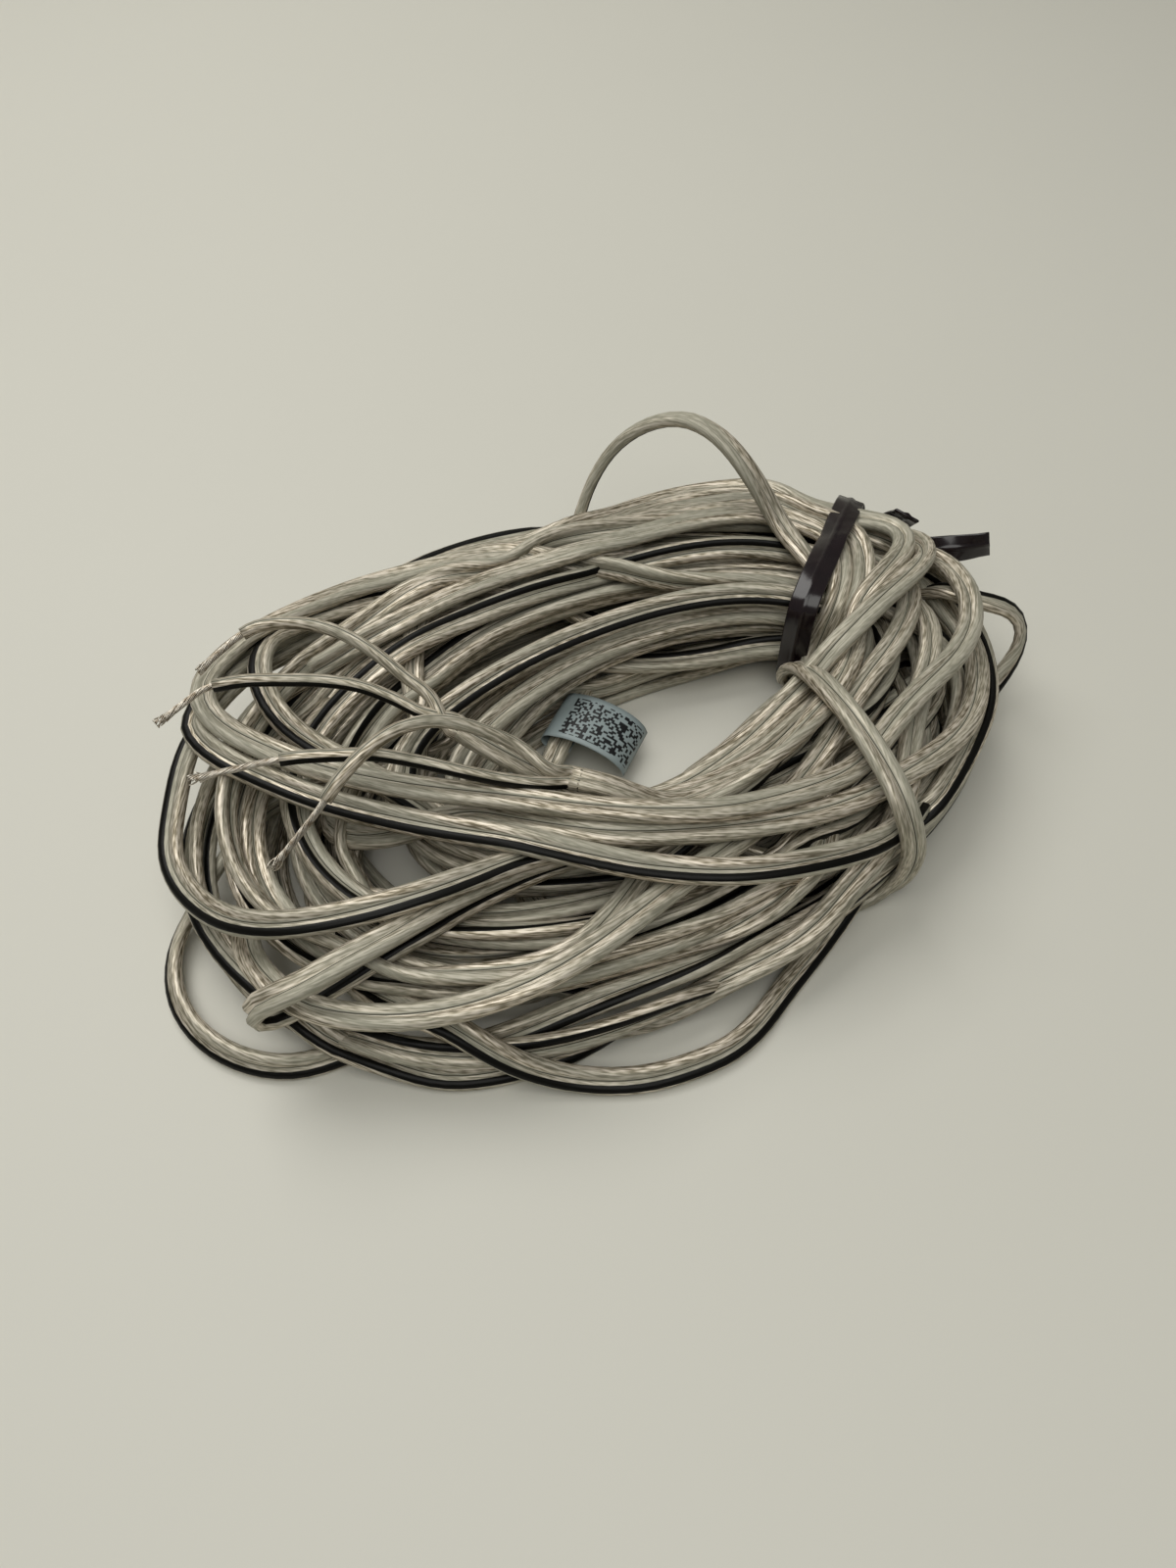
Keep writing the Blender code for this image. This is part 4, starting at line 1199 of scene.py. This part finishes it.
    @staticmethod
    def _web(add: AddNode, share: Socket, low: float, high: float) -> Node:
        """1 on the web between the conductors, 0 on the conductors; 0.5 is the web's middle."""
        doubled = add("ShaderNodeMath", {0: share, 1: 2.0}, operation="MULTIPLY")
        part = add("ShaderNodeMath", {0: doubled}, operation="FRACT")
        middle = add("ShaderNodeMath", {0: part, 1: 0.5}, operation="SUBTRACT")
        away = add("ShaderNodeMath", {0: middle}, operation="ABSOLUTE")
        return add("ShaderNodeMapRange", {0: away, 1: low, 2: high})

    def _band(self, add: AddNode, share: Socket, run: Socket) -> Node:
        """1 on the dark line, 0 elsewhere; the line wanders a little."""
        wave = add("ShaderNodeTexNoise", {"W": run, "Scale": 0.02}, noise_dimensions="1D")
        shift = add("ShaderNodeMath", {0: wave, 1: self.stripe_sway, 2: share},
                    operation="MULTIPLY_ADD")
        middle = 0.5 * sum(self.stripe_at) + 0.5 * self.stripe_sway
        half = 0.5 * (self.stripe_at[1] - self.stripe_at[0])
        off = add("ShaderNodeMath", {0: shift, 1: middle}, operation="SUBTRACT")
        away = add("ShaderNodeMath", {0: off}, operation="ABSOLUTE")
        return add("ShaderNodeMapRange", {0: away, 1: half + self.stripe_blur,
                                          2: half - self.stripe_blur})


@dataclass(frozen=True)
class TinnedStrands:
    """Tinned copper wire, drawn: bright, silvery, with a warm tint where the tin is thin."""

    name: str = "bare_strands"
    pale: str = "#D8D1C5"
    warm: str = "#A2937F"

    def build(self) -> Material:
        """Make the material."""
        material, add, shader = new_material(self.name)
        place = add("ShaderNodeTexCoord").outputs["Object"]
        noise = add("ShaderNodeTexNoise", {"Vector": place, "Scale": 900.0, "Detail": 2.0})
        share = add("ShaderNodeMapRange", {0: noise, 1: 0.42, 2: 0.68})
        mixed = add("ShaderNodeMix", {0: share, 6: linear(self.pale), 7: linear(self.warm)},
                    data_type="RGBA")
        connect(shader, {"Base Color": mixed.outputs[2], "Metallic": 0.9, "Roughness": 0.34})
        return material


@dataclass(frozen=True)
class TiePlastic:
    """Plum-black PVC ribbon, extruded over a soft wire: smooth and glossy, dimpled by its bends."""

    name: str = "tie_plastic"
    colour: str = "#120B0E"
    worn: str = "#211619"

    def build(self) -> Material:
        """Make the material."""
        material, add, shader = new_material(self.name)
        place = add("ShaderNodeTexCoord").outputs["Object"]
        dents = add("ShaderNodeTexNoise", {"Vector": place, "Scale": 260.0, "Detail": 1.0})
        mixed = add("ShaderNodeMix", {0: dents, 6: linear(self.colour), 7: linear(self.worn)},
                    data_type="RGBA")
        bump = add("ShaderNodeBump", {"Height": dents, "Strength": 0.35, "Distance": 0.0004})
        connect(shader, {"Base Color": mixed.outputs[2], "Normal": bump, "Roughness": 0.2,
                         "IOR": 1.54})
        return material


@dataclass(frozen=True)
class LabelTape:
    """Matt white vinyl tape with a painted reflection of a cool light, which colours it blue-grey,
    and a generic pattern of dark blocks.

    Attributes:
        printed_run: Where the pattern begins and ends along the tape.
        printed_width: The same across it.
    """

    name: str = "label_tape"
    # Painted reflection: the white tape's colour, painted blue-grey as the reflection of a cool
    # light.
    tape_with_painted_reflection: str = "#8E9A9B"
    ink: str = "#0C0D10"
    block: float = 0.5
    printed_run: tuple[float, float] = (1.0, 17.5)
    printed_width: tuple[float, float] = (1.2, 11.2)

    def build(self) -> Material:
        """Make the material."""
        material, add, shader = new_material(self.name)
        uv = add("ShaderNodeUVMap", uv_map="along_and_across")
        cells = add("ShaderNodeVectorMath", {0: uv, 1: (self.block, self.block, 1.0)},
                    operation="SNAP")
        chance = add("ShaderNodeTexWhiteNoise", {"Vector": cells}, noise_dimensions="2D")
        share = add("ShaderNodeMath", {0: chance, 1: 0.5}, operation="GREATER_THAN")
        axes = add("ShaderNodeSeparateXYZ", {0: uv})
        for value, limits in zip(axes.outputs, (self.printed_run, self.printed_width)):
            for limit, side in zip(limits, ("GREATER_THAN", "LESS_THAN")):
                inside = add("ShaderNodeMath", {0: value, 1: limit}, operation=side)
                share = add("ShaderNodeMath", {0: share, 1: inside}, operation="MULTIPLY")
        # The tape's colour is a painted reflection of a cool light; the ink is print.
        mixed = add("ShaderNodeMix", {0: share, 6: linear(self.tape_with_painted_reflection), 7: linear(self.ink)},
                    data_type="RGBA")
        connect(shader, {"Base Color": mixed.outputs[2], "Roughness": 0.42})
        return material


# ---------------------------------------------------------------- pieces


@dataclass
class TwinCable:
    """The whole length of twin cable, from one split end to the other.

    Attributes:
        camera: The camera whose lines of sight the marked stretches keep to.
        lobe_points: Points on each conductor's outline.
        opening: Half the angle that a conductor's outline goes round, in degrees.
    """

    camera: PhotoCamera
    oval: Oval
    ring_step: float = 2.5
    lobe_points: int = 9
    opening: float = 150.0

    def section(self) -> np.ndarray:
        """Figure-eight outline, from the web's underside round the striped conductor first."""
        angles = np.radians(np.linspace(-self.opening, self.opening, self.lobe_points))
        radius = CONDUCTOR / 2.0
        lobe = np.column_stack([np.cos(angles), np.sin(angles)]) * radius + (radius, 0.0)
        return np.vstack([lobe, -lobe])

    def build(self, material: Material) -> tuple[np.ndarray, np.ndarray]:
        """Wind, settle and mesh the cable.

        Args:
            material: The material of the cable.

        Returns:
            Its middle line and the unit vectors towards its striped conductor.
        """
        points, roll, hold, spans = Winding(self.oval, self.camera).route()
        settling = Settling(self.oval, self.camera)
        settled = settling.run(points, roll, hold, spans["wrapped_turn"])
        rows = smooth_route(np.column_stack(settled), self.ring_step)
        line = rows[:, :3]
        across = square_to(rows[:, 3:], directions(line))
        cable = dressed(tube("twin_cable", line, across, self.section()), material)
        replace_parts(cable, "coil_turns", "wrapped_turn", "end_a_twin", "end_b_twin", "hole_strand",
                    "fold_run", "front_loop", "left_loop", "right_loop", "top_loop")
        return line, across


@dataclass
class SplitEnd:
    """One conductor of a split end: its insulated lead and its bare, twisted strands.

    Attributes:
        route: Marks of the lead from the split to the stripped end.
        strand: Diameter of a strand of the tip.
        layers: Strands in each layer of the rope, and the layer's radius.
        lay: Length in which the strands go once round.
        tip_bend: Share of the tip in which it bends into its heading.
        fray_from: Share of the tip from which it spreads.
    """

    name: str
    route: tuple[Triple, ...]
    tip_length: float
    tip_heading: Triple
    strand: float = 0.26
    layers: tuple[tuple[int, float], ...] = ((1, 0.0), (6, 0.27), (11, 0.5))
    lay: float = 9.0
    tip_step: float = 0.6
    tip_bend: float = 0.4
    fray_from: float = 0.72

    def build(self, start: np.ndarray, jacket: Material, strands: Material) -> None:
        """Make the lead and its tip.

        Args:
            start: Place where the conductor leaves the twin, and one step back along it.
            jacket: Material of the lead.
            strands: Material of the bare strands.
        """
        rows = smooth_route(np.vstack([start, np.array(self.route)]), 1.6)
        sides = parallel_sides(rows, UP)
        lead = tube(f"{self.name}_lead", rows, sides, round_section(CONDUCTOR, 14))
        lead = dressed(lead, jacket)
        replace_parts(lead, f"{self.name}_lead")
        tip = dressed(self._tip(rows), strands)
        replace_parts(tip, f"{self.name}_strands")

    def _tip(self, lead: np.ndarray) -> Thing:
        """A rope of fine strands, twisted by hand and a little frayed at its end."""
        leaving = unit(lead[-1] - lead[-2])
        heading = unit(np.array(self.tip_heading))
        count = round(self.tip_length / self.tip_step) + 1
        middle = [lead[-1] - leaving * self.tip_step]
        for i in range(1, count):
            bend = smoothstep(np.array(i / (self.tip_bend * count)))
            onward = unit(leaving * (1.0 - bend) + heading * bend)
            middle.append(middle[-1] + onward * self.tip_step)
        middle = np.array(middle)
        sides = parallel_sides(middle, UP)
        ups = np.cross(sides, directions(middle))
        rng = np.random.default_rng([SEED, len(self.name), round(self.tip_length * 10)])
        share = np.linspace(0.0, 1.0, count)
        spread = smoothstep((share - self.fray_from) / (1.0 - self.fray_from))
        made = []
        for number, radius in self.layers:
            for i in range(number):
                turns = i / number + share * self.tip_length / self.lay
                angle = 2.0 * math.pi * turns + rng.normal(0.0, 0.08)
                out = radius + spread * abs(rng.normal(0.0, 0.32))
                shift = np.cos(angle)[:, None] * sides + np.sin(angle)[:, None] * ups
                line = (middle + out[:, None] * shift)[:count - int(rng.integers(0, 4))]
                sides_of_wire = parallel_sides(line, sides[0])
                made.append(tube(f"{self.name}_wire", line, sides_of_wire,
                                 round_section(self.strand, 5)))
        with bpy.context.temp_override(active_object=made[0], selected_editable_objects=made):
            bpy.ops.object.join()
        made[0].name = f"{self.name}_tip"
        return made[0]


@dataclass
class TwistTie:
    """The ribbon that binds the pile: short tail, once round, and the long tail.

    Attributes:
        bead: Diameter of the bead over its wire.
        roundness: Squareness of the loop.
        gap: Degrees on both sides of the outward way that the loop leaves to the tails.
        skew: How far the loop leans along the pile.
        crumple: Spread of the tilt of its flat, in degrees.
        crumple_spacing: Points between two tilts.
        crumple_from: Height from which it tilts, to lie flat on the table.
        crumple_fade: Further height at which it tilts fully.
        short_tail: Points of the short tail: along the pile, out from the loop, and up.
        long_tail: Points of the long tail.
    """

    oval: Oval
    width: float = 6.0
    thickness: float = 0.6
    bead: float = 1.3
    half_width: float = 19.8
    low: float = 0.8
    high: float = 27.0
    roundness: float = 5.0
    gap: float = 38.0
    skew: float = 4.5
    crumple: float = 13.0
    crumple_spacing: int = 5
    crumple_from: float = 2.0
    crumple_fade: float = 3.0
    step: float = 1.2
    short_tail: tuple[Triple, ...] = (
        (12.4, -1.2, 23.4), (11.2, 0.8, 20.6), (9.0, 2.0, 17.8), (6.2, 2.4, 15.6),
        (3.4, 2.2, 15.2), (1.2, 1.4, 17.0))
    long_tail: tuple[Triple, ...] = (
        (1.0, 0.0, 12.0), (4.8, 0.8, 12.8), (10.0, 0.4, 13.8), (15.0, -0.8, 14.6),
        (20.0, -1.2, 15.6), (25.5, -0.6, 16.8), (31.5, 0.8, 18.4))

    def section(self) -> np.ndarray:
        """Flat ribbon with a round bead along its middle."""
        half, thin, bead = self.width / 2.0, self.thickness / 2.0, self.bead / 2.0
        top = [(half, thin * 0.5), (half - 0.25, thin), (bead + 0.35, thin),
               (bead * 0.8, bead * 0.75), (0.0, bead)]
        upper = top + [(-x, y) for x, y in top[-2::-1]]
        return np.array(upper + [(x, -y) for x, y in upper[::-1]])

    def _local(self) -> np.ndarray:
        """Points of the whole tie: along the pile, out from it, and up."""
        angles = np.radians(np.linspace(self.gap, 360.0 - self.gap, 44))
        power = 2.0 / self.roundness
        level, upright = (np.sign(part) * np.abs(part) ** power
                          for part in (np.cos(angles), np.sin(angles)))
        height = 0.5 * (self.high - self.low) * upright + 0.5 * (self.high + self.low)
        loop = np.column_stack([self.skew * (level - 1.0) / 2.0, self.half_width * level, height])
        short, long = (np.array(tail) + (0.0, self.half_width, 0.0)
                       for tail in (self.short_tail, self.long_tail))
        return smooth_route(np.vstack([short, loop, long]), self.step)

    def build(self, material: Material) -> None:
        """Make the ribbon."""
        here = np.array([self.oval.tie_angle])
        centre, before, after = (self.oval.place(here + turn, np.zeros(1))[0]
                                 for turn in (0.0, -0.5, 0.5))
        onward = np.array([*unit(after - before), 0.0])
        outward = np.array([onward[1], -onward[0], 0.0])
        local = self._local()
        points = (np.array([*centre, 0.0]) - np.outer(local[:, 0] + self.skew, onward)
                  + np.outer(local[:, 1], outward))
        points[:, 2] = local[:, 2]
        along = directions(points)
        in_face = unit(np.cross(outward, along))
        share = np.clip(local[:, 0] / self.width, 0.0, 1.0)[:, None]
        sides = unit(in_face * share - onward * (1.0 - share))
        keys = np.arange(0, len(points) + self.crumple_spacing, self.crumple_spacing)
        tilts = np.random.default_rng(SEED).normal(0.0, self.crumple, len(keys))
        free = np.clip((points[:, 2] - self.crumple_from) / self.crumple_fade, 0.0, 1.0)
        tilt = np.interp(np.arange(len(points)), keys, tilts) * free
        sides = turned(square_to(sides, along), along, np.radians(tilt))
        tie = dressed(tube("twist_tie", points, sides, self.section()), material)
        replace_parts(tie, "tie_ribbon")


@dataclass
class Label:
    """A tape folded round the strand that crosses the hole, with a flag to one side.

    Attributes:
        place: Where the strand carries it.
        heading: Way that the strand runs there.
        flag: Reach of the flag from the strand.
        flag_shape: Points of the flag from its edge inwards: shares of its reach, and up.
        cable_half: Half the cable's size at the fold, sideways and upwards.
        wrap: Angles between which the tape goes round the cable, in degrees.
    """

    place: Triple = (-3.2, 10.6, 7.2)
    heading: Triple = (-0.42, -0.907, -0.04)
    width: float = 12.4
    flag: float = 15.4
    flag_shape: tuple[tuple[float, float], ...] = (
        (1.0, -2.4), (0.95, -0.6), (0.82, 1.2), (0.65, 2.4), (0.45, 3.1), (0.26, 3.3), (0.1, 3.1))
    cable_half: tuple[float, float] = (2.5, 1.8)
    clearance: float = 0.8
    wrap: tuple[float, float] = (100.0, 350.0)
    thickness: float = 0.16
    step: float = 0.5

    def build(self, line: np.ndarray, material: Material) -> None:
        """Fold the tape round the cable.

        Args:
            line: Middle line of the cable.
            material: Material of the tape.
        """
        nearest = np.argmin(np.linalg.norm(line - np.array(self.place), axis=1))
        along = unit(np.array(self.heading))
        side = unit(np.cross(UP, along))
        side *= np.sign(side[0])
        normal = unit(np.cross(side, along))
        normal *= np.sign(normal[2])
        half_wide, half_thick = (half + self.clearance for half in self.cable_half)
        outline = [(self.flag * x, y, 0.0) for x, y in self.flag_shape]
        outline += [(half_wide * math.cos(a), half_thick * math.sin(a), 0.0)
                    for a in np.radians(np.linspace(*self.wrap, 26))]
        rows = smooth_route(np.array(outline), self.step)
        places = line[nearest] + np.outer(rows[:, 0], side) + np.outer(rows[:, 1], normal)
        sheet = bmesh.new()
        sheet.loops.layers.uv.new("along_and_across")
        bmesh.ops.create_grid(sheet, x_segments=len(rows) - 1, y_segments=12, size=1.0,
                              calc_uvs=True)
        for vert in sheet.verts:
            at = places[round((vert.co.x + 1.0) / 2.0 * (len(rows) - 1))]
            vert.co = in_place(at + along * (vert.co.y * self.width / 2.0))
        size = (self.step * (len(rows) - 1), self.width)
        label = placed("label", finished(sheet, "label", "along_and_across", size))
        skin = label.modifiers.new("thickness", "SOLIDIFY")
        skin.thickness = self.thickness * MM
        skin.offset = 0.0
        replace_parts(dressed(label, material), "label_tape")


# ---------------------------------------------------------------- table and light


@dataclass
class Studio:
    """A pale table that curves up behind the object, in plain soft light. Sizes are in metres.

    Attributes:
        cloud: The table's second colour, in faint clouds.
        reach: Half the depth of the flat sheet, before it is bent.
        level: Depth that stays level.
        bend_angle: Angle that it curves through, in radians.
        slope: Rise of the sheet behind the curve.
    """

    table: str = "#D3D1C7"
    cloud: str = "#D8D6CC"
    reach: float = 1.6
    half_width: float = 2.5
    level: float = 2.1
    bend_radius: float = 0.5
    bend_angle: float = 1.2
    slope: float = 0.9

    def build(self) -> None:
        """Make the table, the lamps and the world."""
        sheet = bmesh.new()
        bmesh.ops.create_grid(sheet, x_segments=2, y_segments=48, size=1.0)
        for vert in sheet.verts:
            run = (vert.co.y + 1.0) * self.reach
            bend = max(0.0, run - self.level)
            turn = min(bend / self.bend_radius, self.bend_angle)
            behind = max(0.0, bend - self.bend_radius * self.bend_angle)
            vert.co = (vert.co.x * self.half_width,
                       min(run, self.level) - self.reach + self.bend_radius * math.sin(turn),
                       self.bend_radius * (1.0 - math.cos(turn)) + behind * self.slope)
        table = placed("table", finished(sheet, "table"))
        material, add, shader = new_material("painted_table")
        place = add("ShaderNodeTexCoord").outputs["Object"]
        cloud = add("ShaderNodeTexNoise", {"Vector": place, "Scale": 3.0, "Detail": 3.0})
        mixed = add("ShaderNodeMix", {0: cloud, 6: linear(self.table), 7: linear(self.cloud)},
                    data_type="RGBA")
        connect(shader, {"Base Color": mixed.outputs[2], "Roughness": 0.55})
        table.data.materials.append(material)
        self._lamp("window", (-0.35, 0.4, 0.85), 0.7, 5.0, "#FFFEFA")
        self._lamp("ceiling", (-0.03, -0.38, 0.98), 0.8, 4.4, "#FFFFFA")
        world = bpy.data.worlds.new("soft_room")
        world.use_nodes = True
        connect(world.node_tree.nodes["Background"], {0: linear("#ECEDE9"), 1: 0.18})
        bpy.context.scene.world = world

    @staticmethod
    def _lamp(name: str, place: Triple, size: float, power: float, colour: str) -> None:
        """A square area lamp that points at the coil."""
        data = bpy.data.lights.new(name, "AREA")
        data.size = size
        data.energy = power
        data.color = linear(colour)[:3]
        lamp = placed(name, data)
        lamp.location = place
        lamp.rotation_euler = Vector(place).to_track_quat("Z", "Y").to_euler()


def main() -> None:
    """Build the dressed coil in its studio."""
    logging.basicConfig(level=logging.INFO, format="%(message)s")
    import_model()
    bpy.context.scene.view_settings.view_transform = "Standard"
    camera, oval = PhotoCamera(), Oval()
    camera.build()
    twin_pvc = ClearTwinPvc().build()
    lead_pvc = ClearTwinPvc(name="clear_pvc_lead", striped=False, round_length=7.9).build()
    striped_pvc = ClearTwinPvc(name="clear_pvc_striped_lead", round_length=7.9,
                               stripe_at=(0.16, 0.36)).build()
    strands = TinnedStrands().build()
    line, across = TwinCable(camera, oval).build(twin_pvc)
    for end, last_two in (("a", slice(None, 2)), ("b", slice(None, -3, -1))):
        for kind, sign, jacket in (("plain", -1.0, lead_pvc), ("striped", 1.0, striped_pvc)):
            start = (line[last_two] + across[last_two] * sign * (CONDUCTOR / 2.0))[::-1]
            name = f"end_{end}_{kind}"
            SplitEnd(name, LEAD_ROUTES[name], *BARE_TIPS[name]).build(start, jacket, strands)
    TwistTie(oval).build(TiePlastic().build())
    Label().build(line, LabelTape().build())
    Studio().build()
    bpy.context.view_layer.update()


if __name__ == "__main__":
    main()
